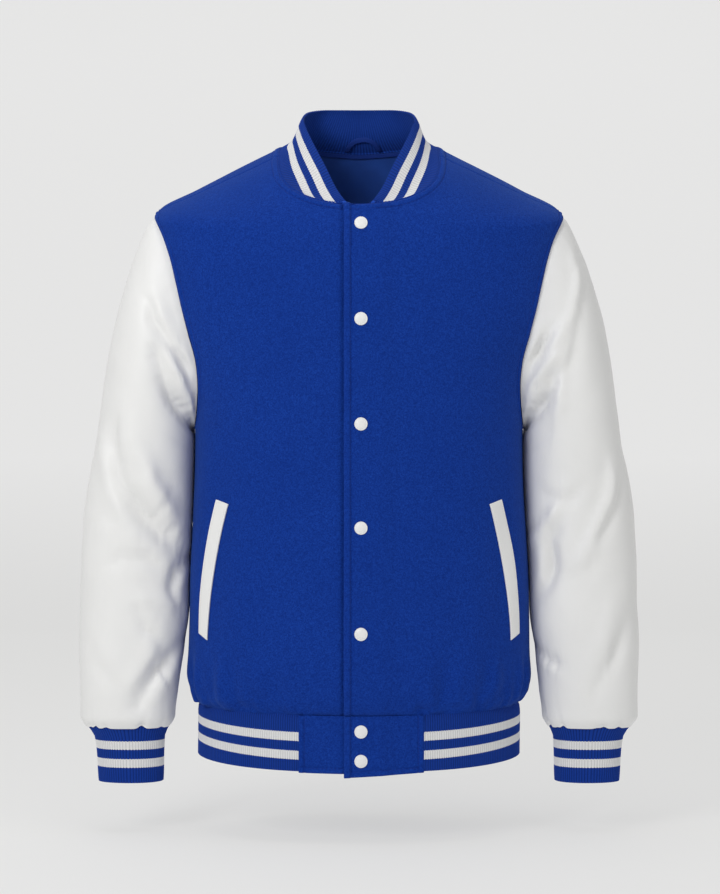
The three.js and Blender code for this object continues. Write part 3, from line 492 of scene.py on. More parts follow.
def body_lift(turn, level, panel):
    """How far a panel's outer side stands off the mould: overlap, gathers, folds and turned-in edges."""
    turn, level = np.broadcast_arrays(turn, level)
    plain = body_surface(turn, level)
    folded = plain * [-1, 1, 1]
    on_left = np.where((plain[..., 0] >= 0)[..., None] | (panel == "front_left"), plain, folded)
    lift = np.zeros(plain.shape[:-1])
    if panel == "front_left":
        lift = lift + OVERLAP * (1 - ramp(OVERLAP_FLAT, OVERLAP_SLOPE_END, plain[..., 0]))
    away = np.abs(np.remainder(turn + HALF_TURN, 2 * HALF_TURN) - HALF_TURN)
    waves = np.cos(22 * turn) + 0.5 * np.cos(37.4 * turn)
    placket_free = ramp(0.12, 0.5, away)
    lift = lift + 2.1 * np.exp(-((level + 596) / 26) ** 2) * waves * placket_free
    near_hem = np.exp(-((level - HEM_SEAM) / 22) ** 2) * ramp(0, 5, level - HEM_SEAM)
    pleats = soft_noise(plain * [1, 1, 0.25], 15, 2.0) + 0.8 * soft_noise(plain * [1, 1, 0.3], 8, 5.0)
    lift = lift + 4.2 * near_hem * pleats * ramp(0.04, 0.3, away)
    lift = lift + 0.7 * np.exp(-((level - HEM_SEAM - 8) / 7) ** 2)
    lift = lift - 1.9 * np.exp(-((level - HEM_SEAM) / 2.6) ** 2)
    face = 1 if panel == "back" else -1
    lift = lift + fold_lift(plain, body_normal(turn, level), body_fold_paths(face))
    calm = ramp(0, 30, plain[..., 0] - OVERLAP_EDGE) if panel == "front_left" else 1.0
    lift = lift + calm * (0.9 * soft_noise(plain, 150, 3.0) + 0.6 * soft_noise(plain, 46, 9.0))
    armhole = distance_to(on_left, ARMHOLE_BACK_LINE if panel == "back" else ARMHOLE_FRONT_LINE)[0]
    lift = lift + flap(armhole, 7.4, 1.0) + 1.5 * sum(stitched(armhole, at) for at in ARMHOLE_STITCHES)
    neck = distance_to(on_left, NECK_LINE)[0]
    lift = lift + flap(neck, 9.2, 1.1) + 1.9 * sum(stitched(neck, at) for at in NECK_STITCHES)
    shoulder = distance_to(on_left, SHOULDER_LINE)[0]
    lift = lift - 0.9 * np.exp(-(shoulder / 1.6) ** 2)
    side = np.abs(away - QUARTER) * 170
    below_arm = 1 - ramp(ARMHOLE_END - 6, ARMHOLE_END + 6, level)
    lift = lift - 0.8 * np.exp(-(side / 2.2) ** 2) * below_arm
    if panel == "front_right":
        lift = lift - 2.0 * np.exp(-((plain[..., 0] - OVERLAP_EDGE + 0.4) / 2.2) ** 2)
    if panel == "front_left":
        edge = distance_to(plain, edge_line(OVERLAP_EDGE))[0]
        lift = lift + flap(edge, 7.6, 1.6) + 3.0 * stitched(edge, EDGE_STITCH + 0.6)
    return lift


def panel_trim(turn, level, panel):
    """The overlapping front is cut lower at the neck by what its lift adds."""
    if panel != "front_left":
        return level
    plain = body_surface(turn, level)
    over = OVERLAP * (1 - ramp(OVERLAP_FLAT, OVERLAP_SLOPE_END, plain[..., 0]))
    near_neck = ramp(-60, 0, level - neck_level(turn))
    return level - 0.4 * over * near_neck


# Meshes
bpy.context.tool_settings.mesh_select_mode = (False, False, True)


def only(piece):
    bpy.ops.object.select_all(action="DESELECT")
    piece.select_set(True)
    bpy.context.view_layer.objects.active = piece


def cloth(name, points, uv=None, closed=False, slit=None):
    """A grid laid out in rows along a surface; points are in millimetres, rows x columns.

    A slit takes out the faces after one column, and what meets again there is merged."""
    rows, columns = points.shape[:2]
    bpy.ops.object.select_all(action="DESELECT")
    bpy.ops.mesh.primitive_grid_add(x_subdivisions=columns - 1, y_subdivisions=rows - 1, size=1)
    piece = bpy.context.object
    piece.name = piece.data.name = name
    mesh = piece.data
    mesh.vertices.foreach_set("co", (points * MM).ravel())
    if uv is not None:
        corners = np.zeros(len(mesh.loops), int)
        mesh.loops.foreach_get("vertex_index", corners)
        mesh.uv_layers[0].data.foreach_set("uv", uv.reshape(-1, 2)[corners].ravel())
    mesh.update()
    if slit is not None:
        bpy.ops.object.mode_set(mode="EDIT")
        bpy.ops.mesh.select_all(action="DESELECT")
        bpy.ops.object.mode_set(mode="OBJECT")
        for face in mesh.polygons:
            face.select = face.index % (columns - 1) == slit
        bpy.ops.object.mode_set(mode="EDIT")
        bpy.ops.mesh.delete(type="FACE")
        bpy.ops.object.mode_set(mode="OBJECT")
    if closed or slit is not None:
        bpy.ops.object.mode_set(mode="EDIT")
        bpy.ops.mesh.select_all(action="SELECT")
        bpy.ops.mesh.remove_doubles(threshold=0.00002)
        bpy.ops.mesh.normals_make_consistent(inside=False)
        bpy.ops.object.mode_set(mode="OBJECT")
    return piece


def finish_cloth(piece, materials, wall, soft_edge=0.6, smooth=50):
    """Gives a sheet its wall, inwards, rounds its rim and shades it."""
    for material in materials:
        piece.data.materials.append(material)
    only(piece)
    solid = piece.modifiers.new("wall", "SOLIDIFY")
    solid.thickness = wall * MM
    solid.offset = -1
    solid.material_offset = len(materials) - 1
    bpy.ops.object.modifier_apply(modifier="wall")
    if soft_edge:
        bevel = piece.modifiers.new("soft_edge", "BEVEL")
        bevel.width = soft_edge * MM
        bevel.segments = 2
        bevel.limit_method = "ANGLE"
        bevel.angle_limit = math.radians(55)
        bpy.ops.object.modifier_apply(modifier="soft_edge")
    bpy.ops.object.shade_smooth_by_angle(angle=math.radians(smooth))
    return piece


def grid_normals(points, closed):
    """Outward directions of a grid: across its columns and up its rows."""
    if closed:
        around = np.empty_like(points)
        around[:, 1:-1] = points[:, 2:] - points[:, :-2]
        around[:, 0] = around[:, -1] = points[:, 1] - points[:, -2]
    else:
        around = np.gradient(points, axis=1)
    return unit(np.cross(around, np.gradient(points, axis=0)))


def mirrored(points):
    """The same grid on the wearer's right side, with its faces still outwards."""
    return points[:, ::-1] * [-1, 1, 1]


# Materials
class Finish:
    """A procedural material, built node by node."""

    def __init__(self, name, **values):
        self.material = bpy.data.materials.new(name)
        self.material.use_nodes = True
        self.nodes = self.material.node_tree.nodes
        self.links = self.material.node_tree.links
        self.shader = self.nodes["Principled BSDF"]
        for socket, value in values.items():
            self.shader.inputs[socket.replace("_", " ").title().replace("Ior", "IOR")].default_value = value

    def add(self, kind, inputs=None, **settings):
        node = self.nodes.new(kind)
        for key, value in settings.items():
            setattr(node, key, value)
        for socket, value in (inputs or {}).items():
            if isinstance(value, bpy.types.NodeSocket):
                self.links.new(value, node.inputs[socket])
            else:
                node.inputs[socket].default_value = value
        return node

    def math(self, operation, a, b=0.0, c=0.0):
        return self.add("ShaderNodeMath", {0: a, 1: b, 2: c}, operation=operation).outputs[0]

    def place(self):
        return self.add("ShaderNodeTexCoord").outputs["Object"]

    def noise(self, scale, detail=3.0, roughness=0.55, distortion=0.0):
        inputs = {"Vector": self.place(), "Scale": scale, "Detail": detail, "Roughness": roughness,
                  "Distortion": distortion}
        return self.add("ShaderNodeTexNoise", inputs).outputs[0]

    def spread(self, value, low, high, to_low, to_high):
        inputs = {"Value": value, 1: low, 2: high, 3: to_low, 4: to_high}
        return self.add("ShaderNodeMapRange", inputs).outputs[0]

    def mix(self, share, a, b):
        node = self.add("ShaderNodeMix", data_type="RGBA")
        for socket, value in ((0, share), (6, a), (7, b)):
            if isinstance(value, bpy.types.NodeSocket):
                self.links.new(value, node.inputs[socket])
            else:
                node.inputs[socket].default_value = value
        return node.outputs[2]

    def colour(self, value):
        self.links.new(value, self.shader.inputs["Base Color"])

    def rough(self, value):
        self.links.new(value, self.shader.inputs["Roughness"])

    def bump(self, layers):
        """Layers of (height, strength, distance in mm), the broadest first."""
        normal = None
        for height, strength, distance in layers:
            inputs = {"Height": height, "Strength": strength, "Distance": distance * MM}
            if normal is not None:
                inputs["Normal"] = normal
            normal = self.add("ShaderNodeBump", inputs).outputs[0]
        self.links.new(normal, self.shader.inputs["Normal"])


def wool(name, deep, main, light):
    """Melton: felted wool with a short nap, mottled at several sizes."""
    finish = Finish(name, roughness=0.95, sheen_weight=0.16, sheen_roughness=0.5, specular_ior_level=0.08)
    finish.shader.inputs["Sheen Tint"].default_value = (0.2, 0.42, 1.0, 1.0)
    fibres = finish.noise(1350, 5.0, 0.7, 0.6)
    felt = finish.noise(520, 4.0, 0.62, 0.3)
    broad = finish.noise(9, 2.0)
    clumps = finish.noise(230, 3.0, 0.6, 0.4)
    tone = finish.math("ADD", finish.math("MULTIPLY", fibres, 0.6), finish.math("MULTIPLY", felt, 0.4))
    dark = finish.mix(finish.spread(tone, 0.42, 0.49, 0.0, 1.0), deep, main)
    bright = finish.mix(finish.spread(tone, 0.49, 0.57, 0.0, 1.0), dark, light)
    bright = finish.mix(finish.spread(clumps, 0.42, 0.62, 0.0, 0.3), bright, deep)
    finish.colour(finish.mix(finish.spread(broad, 0.3, 0.7, 0.0, 0.22), bright, deep))
    finish.bump([(clumps, 0.5, 0.7), (felt, 0.6, 0.6), (fibres, 0.6, 0.3)])
    return finish.material


def leather(name, main, shade):
    """Smooth leather with a fine pebbled grain and softly varied gloss."""
    finish = Finish(name, roughness=0.46, specular_ior_level=0.42)
    broad = finish.noise(14, 3.0)
    patch = finish.noise(95, 4.0)
    cells = finish.add("ShaderNodeTexVoronoi", {"Vector": finish.place(), "Scale": 760.0},
                       feature="DISTANCE_TO_EDGE").outputs["Distance"]
    grain = finish.spread(cells, 0.0, 0.22, 0.0, 1.0)
    pores = finish.noise(2100, 2.0)
    finish.colour(finish.mix(finish.spread(broad, 0.3, 0.7, 0.0, 0.5), main, shade))
    finish.rough(finish.spread(patch, 0.3, 0.7, 0.4, 0.54))
    finish.bump([(patch, 0.25, 0.9), (grain, 0.22, 0.12), (pores, 0.2, 0.06)])
    return finish.material


KNIT_REACH = 0.08  # metres down a band that the stripes' colour ramp covers


def rib_knit(name, blue, valley_shade, white, stripes):
    """Rib knit on its own UV map: u counts the ribs and v is the way down the band, in metres. Its colour is
    darkened into the valleys between the ribs as painted shade.
    """
    finish = Finish(name, roughness=0.9, sheen_weight=0.1, sheen_roughness=0.5, specular_ior_level=0.12)
    finish.shader.inputs["Sheen Tint"].default_value = (0.35, 0.5, 1.0, 1.0)
    place = finish.add("ShaderNodeSeparateXYZ", {0: finish.add("ShaderNodeUVMap").outputs[0]})
    across = finish.math("FRACT", place.outputs[0])
    from_crest = finish.math("ABSOLUTE", finish.math("SUBTRACT", across, 0.5))
    down = place.outputs[1]
    wobble = finish.math("MULTIPLY", from_crest, 0.0012)
    if stripes:
        share_down = finish.math("DIVIDE", finish.math("ADD", down, wobble), KNIT_REACH)
        band = finish.add("ShaderNodeValToRGB", {0: share_down})
        band.color_ramp.interpolation = "CONSTANT"
        stops = [(0.0, 0.0)]
        for start, end in stripes:
            stops += [(start * MM / KNIT_REACH, 1.0), (end * MM / KNIT_REACH, 0.0)]
        for number, (position, value) in enumerate(stops):
            stop = band.color_ramp.elements[number] if number < 2 else band.color_ramp.elements.new(position)
            stop.position = position
            stop.color = (value, value, value, 1.0)
        base = finish.mix(band.outputs[0], blue, white)
        # Painted shade colour for the valleys of the white stripes: 0.72 of the white
        low = finish.mix(band.outputs[0], valley_shade, tuple(0.72 * x for x in white[:3]) + (1.0,))
    else:
        base, low = finish.mix(0.0, blue, blue), finish.mix(0.0, valley_shade, valley_shade)
    # Painted shade: the colour darkens from each rib's crest into the valley between the ribs
    valley_shade_share = finish.spread(from_crest, 0.24, 0.5, 0.0, 1.0)
    shaded = finish.mix(valley_shade_share, base, low)
    fuzz = finish.noise(1100, 3.0)
    # Fuzz noise also mixes up to 0.3 of the darker valley colour in, at random places
    finish.colour(finish.mix(finish.spread(fuzz, 0.35, 0.75, 0.0, 0.3), shaded, low))
    loops = finish.math("ADD", finish.math("DIVIDE", down, 0.0016), finish.math("MULTIPLY", from_crest, 1.3))
    stitch = finish.math("PINGPONG", loops, 0.5)
    finish.bump([(stitch, 0.6, 0.5), (fuzz, 0.4, 0.2)])
    return finish.material


def satin(name, main, shade):
    finish = Finish(name, roughness=0.36, specular_ior_level=0.5)
    broad = finish.noise(30, 2.0)
    threads = finish.noise(2600, 2.0)
    finish.colour(finish.mix(finish.spread(broad, 0.3, 0.7, 0.0, 0.7), main, shade))
    finish.bump([(broad, 0.3, 2.0), (threads, 0.25, 0.05)])
    return finish.material


def woven(name, main, shade, pitch):
    """Woven tape on its own UV map, in metres: a fine twill."""
    finish = Finish(name, roughness=0.8, specular_ior_level=0.25)
    place = finish.add("ShaderNodeSeparateXYZ", {0: finish.add("ShaderNodeUVMap").outputs[0]})
    slant = finish.math("ADD", place.outputs[0], place.outputs[1])
    twill = finish.math("PINGPONG", finish.math("DIVIDE", slant, pitch * MM), 0.5)
    finish.colour(finish.mix(finish.math("MULTIPLY", twill, 1.4), shade, main))
    finish.bump([(twill, 0.5, 0.25)])
    return finish.material


def enamel(name, main, shade):
    finish = Finish(name, roughness=0.38, specular_ior_level=0.45)
    worn = finish.noise(260, 3.0)
    finish.colour(finish.mix(finish.spread(worn, 0.35, 0.8, 0.0, 0.5), main, shade))
    finish.rough(finish.spread(worn, 0.3, 0.7, 0.33, 0.45))
    finish.bump([(worn, 0.1, 0.1)])
    return finish.material


def thread(name, main, shade):
    finish = Finish(name, roughness=0.7, specular_ior_level=0.3)
    ply = finish.noise(1500, 2.0)
    finish.colour(finish.mix(ply, main, shade))
    finish.bump([(ply, 0.5, 0.15)])
    return finish.material


BLUE_DEEP = (0.0028, 0.0235, 0.195, 1.0)
BLUE_MAIN = (0.0045, 0.0345, 0.270, 1.0)
BLUE_LIGHT = (0.0090, 0.0530, 0.350, 1.0)
# The valley colours are darker copies of the knit blues, painted shade for the rib valleys
KNIT_BLUE = (0.0060, 0.0400, 0.290, 1.0)
KNIT_VALLEY_SHADE = (0.0025, 0.0170, 0.130, 1.0)
# The inner colours are the same knit painted lighter than the outside, painted light for the dim insides of
# the bands
INNER_BLUE_PAINTED_LIGHT = (0.0130, 0.0700, 0.440, 1.0)
INNER_VALLEY_SHADE_PAINTED_LIGHT = (0.0050, 0.0280, 0.200, 1.0)
WHITE_KNIT = (0.78, 0.78, 0.78, 1.0)
HEM_STRIPES = ((19.2, 28.8), (39.8, 49.4))
CUFF_STRIPES = ((16.5, 25.9), (36.4, 46.1))
COLLAR_STRIPES = ((10.0, 19.0), (27.0, 36.0))

WOOL = wool("wool_melton", BLUE_DEEP, BLUE_MAIN, BLUE_LIGHT)
LEATHER = leather("smooth_leather", (0.84, 0.84, 0.83, 1.0), (0.79, 0.79, 0.78, 1.0))
LINING = satin("lining_satin", (0.025, 0.095, 0.45, 1.0), (0.015, 0.058, 0.29, 1.0))
HEM_KNIT = rib_knit("hem_knit", KNIT_BLUE, KNIT_VALLEY_SHADE, WHITE_KNIT, HEM_STRIPES)
CUFF_KNIT = rib_knit("cuff_knit", KNIT_BLUE, KNIT_VALLEY_SHADE, WHITE_KNIT, CUFF_STRIPES)
COLLAR_KNIT = rib_knit("collar_knit", KNIT_BLUE, KNIT_VALLEY_SHADE, WHITE_KNIT, COLLAR_STRIPES)
# The insides of all rib bands: the knit with no stripes, in the painted-light inner colours
INNER_KNIT_PAINTED_LIGHT = rib_knit("inner_knit_painted_light", INNER_BLUE_PAINTED_LIGHT, INNER_VALLEY_SHADE_PAINTED_LIGHT, WHITE_KNIT, ())
TAPE = woven("woven_tape", (0.012, 0.060, 0.42, 1.0), (0.006, 0.030, 0.21, 1.0), 0.7)
SNAP_WHITE = enamel("snap_enamel", (0.84, 0.84, 0.83, 1.0), (0.76, 0.76, 0.75, 1.0))
BLUE_THREAD = thread("blue_thread", (0.006, 0.026, 0.27, 1.0), (0.003, 0.012, 0.13, 1.0))
WHITE_THREAD = thread("white_thread", (0.80, 0.80, 0.79, 1.0), (0.62, 0.62, 0.61, 1.0))


# Body panels
def take_over(piece, node):
    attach(piece, "root")
    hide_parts(node)


def front_panel(name, side, edge_x):
    rows = np.interp(closer_at_ends(154, 0.6), [0, 1], [0, ROWS_TO_SHOULDER])
    parts = closer_at_ends(114, 0.78)
    by_edge, by_side = lambda row: edge_chain(row, edge_x), lambda row: side_chain(row, -1)
    turn, level = panel_places(by_edge, by_side, rows, parts)
    level = panel_trim(turn, level, name)
    if side < 0:
        turn, level = -turn[:, ::-1], level[:, ::-1]
    piece = cloth(name + "_cloth", body_point(turn, level, body_lift(turn, level, name)))
    finish_cloth(piece, [WOOL, LINING], CLOTH)
    take_over(piece, name)


def both_halves(turn, level):
    """The wearer's left half of a back piece and its mirror image, which part above the neckline."""
    turns = np.hstack([turn[:, ::-1], 2 * HALF_TURN - turn])
    return turns, np.hstack([level[:, ::-1], level]), turn.shape[1] - 1


def back_panel():
    rows = np.interp(closer_at_ends(130, 0.45), [0, 1], [0, ROWS_TO_SHOULDER])
    turn, level = panel_places(centre_chain, lambda row: side_chain(row, 1), rows, closer_at_ends(100, 0.7))
    turn, level, middle = both_halves(turn, level)
    piece = cloth("back_cloth", body_point(turn, level, body_lift(turn, level, "back")), slit=middle)
    finish_cloth(piece, [WOOL, LINING], CLOTH)
    take_over(piece, "back")


# Sleeves
def sleeve_ring(rows, row, angle):
    """Rings of a sleeve or cuff, for the wearer's left side."""
    read = {column: between(rows, "row", column, row) for column in SLEEVE_COLUMNS[1:]}
    out = signed_power(np.cos(angle), 2 / SLEEVE_SQUARE)
    fore = signed_power(np.sin(angle), 2 / SLEEVE_SQUARE)
    x = (read["out_x"] + read["in_x"]) / 2 + out * (read["out_x"] - read["in_x"]) / 2
    z = (read["out_z"] + read["in_z"]) / 2 + out * (read["out_z"] - read["in_z"]) / 2
    y = -fore * np.where(fore > 0, read["front"], read["back"]) - read["forward"]
    return np.stack(np.broadcast_arrays(x, y, z), -1)


def plain_sleeve(row, angle):
    row, angle = np.broadcast_arrays(row, angle)
    face = np.where(np.sin(angle) > 0, -1, 1)
    edge = body_surface(*armhole_place(np.arccos(np.clip(np.cos(angle), -1, 1)), face))
    leaving = edge - sleeve_ring(SLEEVE, 0.0, angle)
    return sleeve_ring(SLEEVE, row, angle) + leaving * np.exp(-row * SLEEVE_LEAVES)[..., None]


def sleeve_fold_paths(folds):
    grid_rows, grid_angles = np.linspace(0, SLEEVE_END, 160)[:, None], np.linspace(0.05, HALF_TURN - 0.05, 60)
    faces = {-1: plain_sleeve(grid_rows, grid_angles), 1: plain_sleeve(grid_rows, -grid_angles)}
    paths = []
    for face, corners, raise_by, reach, lean in folds:
        surface = faces[face].reshape(-1, 3)
        path = smooth_path(corners, 6)
        nearest = [np.hypot(surface[:, 0] - x, surface[:, 2] - z).argmin() for x, z in path]
        paths.append((surface[nearest], raise_by, reach, lean))
    return paths


def cuff_creases(angles, up, seed):
    """How deep the leather is creased where it is gathered into the cuff, at uneven places round it."""
    depth = 0.0 * (angles + up)
    for number in range(CUFF_CREASES):
        at = 2 * HALF_TURN * (number + 0.5 * math.sin(2.3 * number + seed)) / CUFF_CREASES
        at = at + 0.012 * up * math.sin(3.1 * number)
        gap = np.remainder(angles - at + HALF_TURN, 2 * HALF_TURN) - HALF_TURN
        strength = 0.5 + 2.0 * math.sin(1.7 * number + seed) ** 2
        long = 7 + 9 * math.cos(2.9 * number + seed) ** 2
        depth = depth + strength * np.exp(-(gap / 0.075) ** 2 - np.maximum(up, 0) / long)
    return depth


def body_edge(side, heights):
    """How far the body reaches out to one side at some heights."""
    levels = np.linspace(-300, -600, 40)[:, None]
    turns = np.linspace(1.2, QUARTER, 14)
    sign = 1 if side == "left" else -1
    front = body_point(sign * turns, levels, body_lift(sign * turns, levels, f"front_{side}"))
    back_turns = sign * (HALF_TURN - turns)
    back = body_point(back_turns, levels, body_lift(back_turns, levels, "back"))
    reach = np.abs(np.hstack([front, back])[..., 0]).max(1)
    return np.interp(-heights, -levels[:, 0], reach)


def sleeve(side):
    rows = np.interp(closer_at_ends(140, 0.4), [0, 1], [0, SLEEVE_END])[:, None]
    angles = np.linspace(0, 2 * HALF_TURN, 161)
    plain = plain_sleeve(rows, angles)
    normals = grid_normals(plain, True)
    free = ramp(0, 0.9, rows) * ramp(SLEEVE_END, SLEEVE_END - 1.2, rows)
    lift = free * fold_lift(plain, normals, sleeve_fold_paths(FOLDS_LEFT if side == "left" else FOLDS_RIGHT))
    seed = 21.0 if side == "left" else 5.0
    lift = lift + free * (1.4 * soft_noise(plain, 66, seed) + 0.45 * soft_noise(plain, 26, seed + 7))
    by_body = np.exp(-((angles - HALF_TURN) / 0.55) ** 2) * ramp(1.5, 3.0, rows) * ramp(15.4, 14, rows)
    lift = lift - by_body * np.maximum(lift, 0)
    up_from_cuff = plain[..., 2] - plain[-1, 0, 2]
    creases = cuff_creases(angles, up_from_cuff, seed)
    lift = lift + 1.3 * np.exp(-((up_from_cuff - 7) / 8) ** 2) - creases * ramp(-1, 2.5, up_from_cuff)
    from_armhole = distance_to(plain, plain[0])[0]
    lift = lift - 1.1 * (1 - ramp(0, 7, from_armhole))
    eased = np.cos(31 * angles + 2 * np.sin(2 * angles)) * np.exp(-((from_armhole - 6) / 7) ** 2)
    lift = lift + 0.28 * eased
    underarm = length_of(plain - plain_sleeve(rows, np.array([HALF_TURN])))
    lift = lift - 0.9 * np.exp(-(underarm / 1.8) ** 2)
    points = plain + normals * lift[..., None]
    ring_edge = points[..., 0].min(1, keepdims=True)
    points[..., 0] += by_body * (body_edge(side, points[:, len(angles) // 2, 2])[:, None] + 0.15 - ring_edge)
    points[..., 2] += (1.2 * creases - 0.8) * np.exp(-(up_from_cuff / 4) ** 2)
    if side == "right":
        points = mirrored(points)
    piece = cloth(f"sleeve_{side}_cloth", points, closed=True)
    finish_cloth(piece, [LEATHER, LINING], CLOTH)
    take_over(piece, f"sleeve_{side}")


def rib_wave(count):
    """A rounded raise for each rib, over the columns of a band, and the rib count along them."""
    columns = np.linspace(0, count, 5 * count + 1)
    return RIB_RAISE * (0.5 - 0.5 * np.cos(2 * HALF_TURN * columns)) ** 0.8, columns


def cuff(side):
    raise_by, ribs = rib_wave(CUFF_RIBS)
    rows = np.array([-1, -0.5, 0, 0.1, 0.3, 0.6, 1, 1.2, 1.4, 1.6, 1.8, 1.95, 2])[:, None]
    plain = sleeve_ring(CUFF, rows, 2 * HALF_TURN * ribs / CUFF_RIBS)
    normals = grid_normals(plain, True)
    level = unit(normals * [1, 1, 0])
    down = CUFF["out_z"][1] - plain[..., 2]
    tucked = -1.3 * (1 - ramp(0, 5, down))
    slack = 0.5 * soft_noise(plain, 26, 2.0) * ramp(0, 10, down)
    points = plain + level * (raise_by + tucked + slack)[..., None]
    uv = np.stack(np.broadcast_arrays(ribs, down * MM), -1)
    if side == "right":
        points, uv = mirrored(points), uv[:, ::-1]
    piece = cloth(f"cuff_{side}_knit", points, uv=uv, closed=True)
    finish_cloth(piece, [CUFF_KNIT, INNER_KNIT_PAINTED_LIGHT], RIB_WALL - 0.4, soft_edge=0.9, smooth=70)
    take_over(piece, f"cuff_{side}")


# Collar, hem and tabs
def collar_row(part, height, below=0.0):
    """Places on the collar and the way out of it: part runs along the foot, from one end to the other,
    and height from the foot, or from a little below it, to the top edge."""
    part, height = np.broadcast_arrays(part, height)
    turn = HALF_TURN - np.abs(part) * (HALF_TURN - turn_across(COLLAR_END_X, NECK_FRONT))
    foot = body_surface(turn, neck_level(turn))
    degrees = np.degrees(turn)
    top = np.stack([between(COLLAR_TOP, "turn", axis, degrees) for axis in "xyz"], -1)
    rise = top - foot
    tall = length_of(rise)
    height = lerp(-below / tall, 1, height)
    before, after = turn - 0.02, turn + 0.02
    around = body_surface(after, neck_level(after)) - body_surface(before, neck_level(before))
    face = unit(np.cross(around, rise))
    bulge = np.maximum(height, 0)
    roll = COLLAR_ROLL * 6.75 * bulge * (1 - bulge) ** 2 * np.minimum(tall / COLLAR_FULL, 1)
    point = foot + rise * height[..., None] + face * roll[..., None]
    out = unit(lerp(body_normal(turn, neck_level(turn)), face, np.minimum(2 * bulge, 1)[..., None]))
    flip = np.where(part < 0, -1, 1)[..., None] * [1, 0, 0] + [0, 1, 1]
    return point * flip, out * flip, tall * (1 - height)


def even_steps(start, end, count, trace):
    """Values at even steps along the line that they trace."""
    values = np.linspace(start, end, 900)
    lengths = np.append(0, np.cumsum(length_of(np.diff(trace(values), axis=0))))
    return np.interp(np.linspace(0, lengths[-1], count), lengths, values)


def collar():
    raise_by, ribs = rib_wave(COLLAR_RIBS)
    parts = even_steps(1, -1, len(ribs), lambda part: collar_row(part, 0.0)[0])
    heights = closer_at_ends(16, 0.5)[:, None]
    points, out, down = collar_row(parts, heights, 2.4)
    uneven = 0.5 * soft_noise(points, 34, 4.0) * ramp(0, 0.3, heights)
    foot_tuck = -1.0 * (1 - ramp(0, 0.15, heights)) - 1.4 * (1 - ramp(0, 0.05, heights))
    points = points + out * (raise_by + uneven + foot_tuck)[..., None]
    uv = np.stack(np.broadcast_arrays(ribs, down * MM), -1)
    piece = cloth("collar_knit", points, uv=uv)
    finish_cloth(piece, [COLLAR_KNIT, INNER_KNIT_PAINTED_LIGHT], RIB_WALL - 0.6, soft_edge=0.9, smooth=70)
    take_over(piece, "collar_rib")


def hem():
    raise_by, ribs = rib_wave(HEM_RIBS)
    start = turn_across(TAB_LEFT_END - 3, HEM_SEAM)
    end = 2 * HALF_TURN - turn_across(TAB_RIGHT_END - 3, HEM_SEAM)
    turns = even_steps(start, end, len(ribs), lambda turn: body_surface(turn, float(HEM_SEAM)))
    levels = np.interp(closer_at_ends(12, 0.5), [0, 1], [HEM_END, HEM_SEAM + 4])[:, None]
    down = HEM_SEAM - levels
    plain = body_surface(turns, levels)
    in_front = plain[..., 1] < 0
    under_left = ramp(TAB_LEFT_END, TAB_LEFT_END - 2.5, plain[..., 0])
    under_right = ramp(-TAB_RIGHT_END, 2.5 - TAB_RIGHT_END, plain[..., 0])
    under = in_front * np.where(plain[..., 0] > 0, under_left, under_right)
    tucked = -2.2 * (1 - ramp(0, 5, down)) - 2.4 * ramp(0, -2.5, down) - 3.2 * under
    slack = 0.7 * soft_noise(plain, 60, 6.0) * ramp(0, 20, down)
    points = body_point(turns, levels, raise_by + tucked + slack)
    sideways = 1 - np.abs(np.cos(turns)) ** 1.5
    points[..., 2] += HEM_SIDE_SHORT * sideways * down / (HEM_SEAM - HEM_END)
    uv = np.stack(np.broadcast_arrays(ribs, (down + HEM_SIDE_TUCK * sideways) * MM), -1)
    piece = cloth("hem_knit", points, uv=uv)
    finish_cloth(piece, [HEM_KNIT, INNER_KNIT_PAINTED_LIGHT], RIB_WALL - 0.3, soft_edge=0.9, smooth=70)
    take_over(piece, "hem_rib")


def tab_lift(x, level, side, end_x):
    """A tab lies under the overlap like its front, with turned-in edges."""
    over = OVERLAP * (1 - ramp(OVERLAP_FLAT, OVERLAP_SLOPE_END, x)) if side > 0 else 0.0 * x
    edge_x = OVERLAP_EDGE if side > 0 else UNDERLAP_EDGE
    from_bottom, from_end, from_edge = level - TAB_END, end_x - x, x - edge_x
    lift = over + 0.7 + 0.8 * flap(from_bottom, 6.0, 1.2) + 0.8 * flap(from_end, 6.0, 1.2)
    lift = lift + 2.4 * stitched(from_bottom, 6.0) + 2.4 * stitched(from_end, 6.0)
    if side > 0:
        lift = lift + flap(from_edge, 7.6, 1.6) + 3.0 * stitched(from_edge, EDGE_STITCH + 0.6)
    place = np.stack(np.broadcast_arrays(x, x * 0.0, level), -1)
    return lift - 0.9 * np.exp(-((HEM_SEAM - level) / 1.6) ** 2) + 0.3 * soft_noise(place, 30, 12.0 + side)


def tab_drop(x, level, side, end_x):
    """How much lower a tab hangs than its cut edge by the placket, and how far its outer end is drawn up."""
    drop = lerp(-2.9, 2.0 if side > 0 else -1.7, (end_x - x) / (end_x - OVERLAP_EDGE))
    return drop * (level - HEM_SEAM) / (TAB_END - HEM_SEAM)


def tab(name, side, edge_x, end_x):
    level = np.interp(closer_at_ends(44, 0.6), [0, 1], [TAB_END, HEM_SEAM])[:, None]
    x = lerp(edge_x, end_x, closer_at_ends(70, 0.6))
    turn = turn_across(x, level)
    lift = tab_lift(x, level, side, end_x)
    points = body_point(turn, level, lift)
    points[..., 2] -= tab_drop(x, level, side, end_x)
    if side < 0:
        points = mirrored(points)
    piece = cloth(name + "_cloth", points)
    finish_cloth(piece, [WOOL, LINING], CLOTH + 0.6, soft_edge=0.9)
    take_over(piece, name)


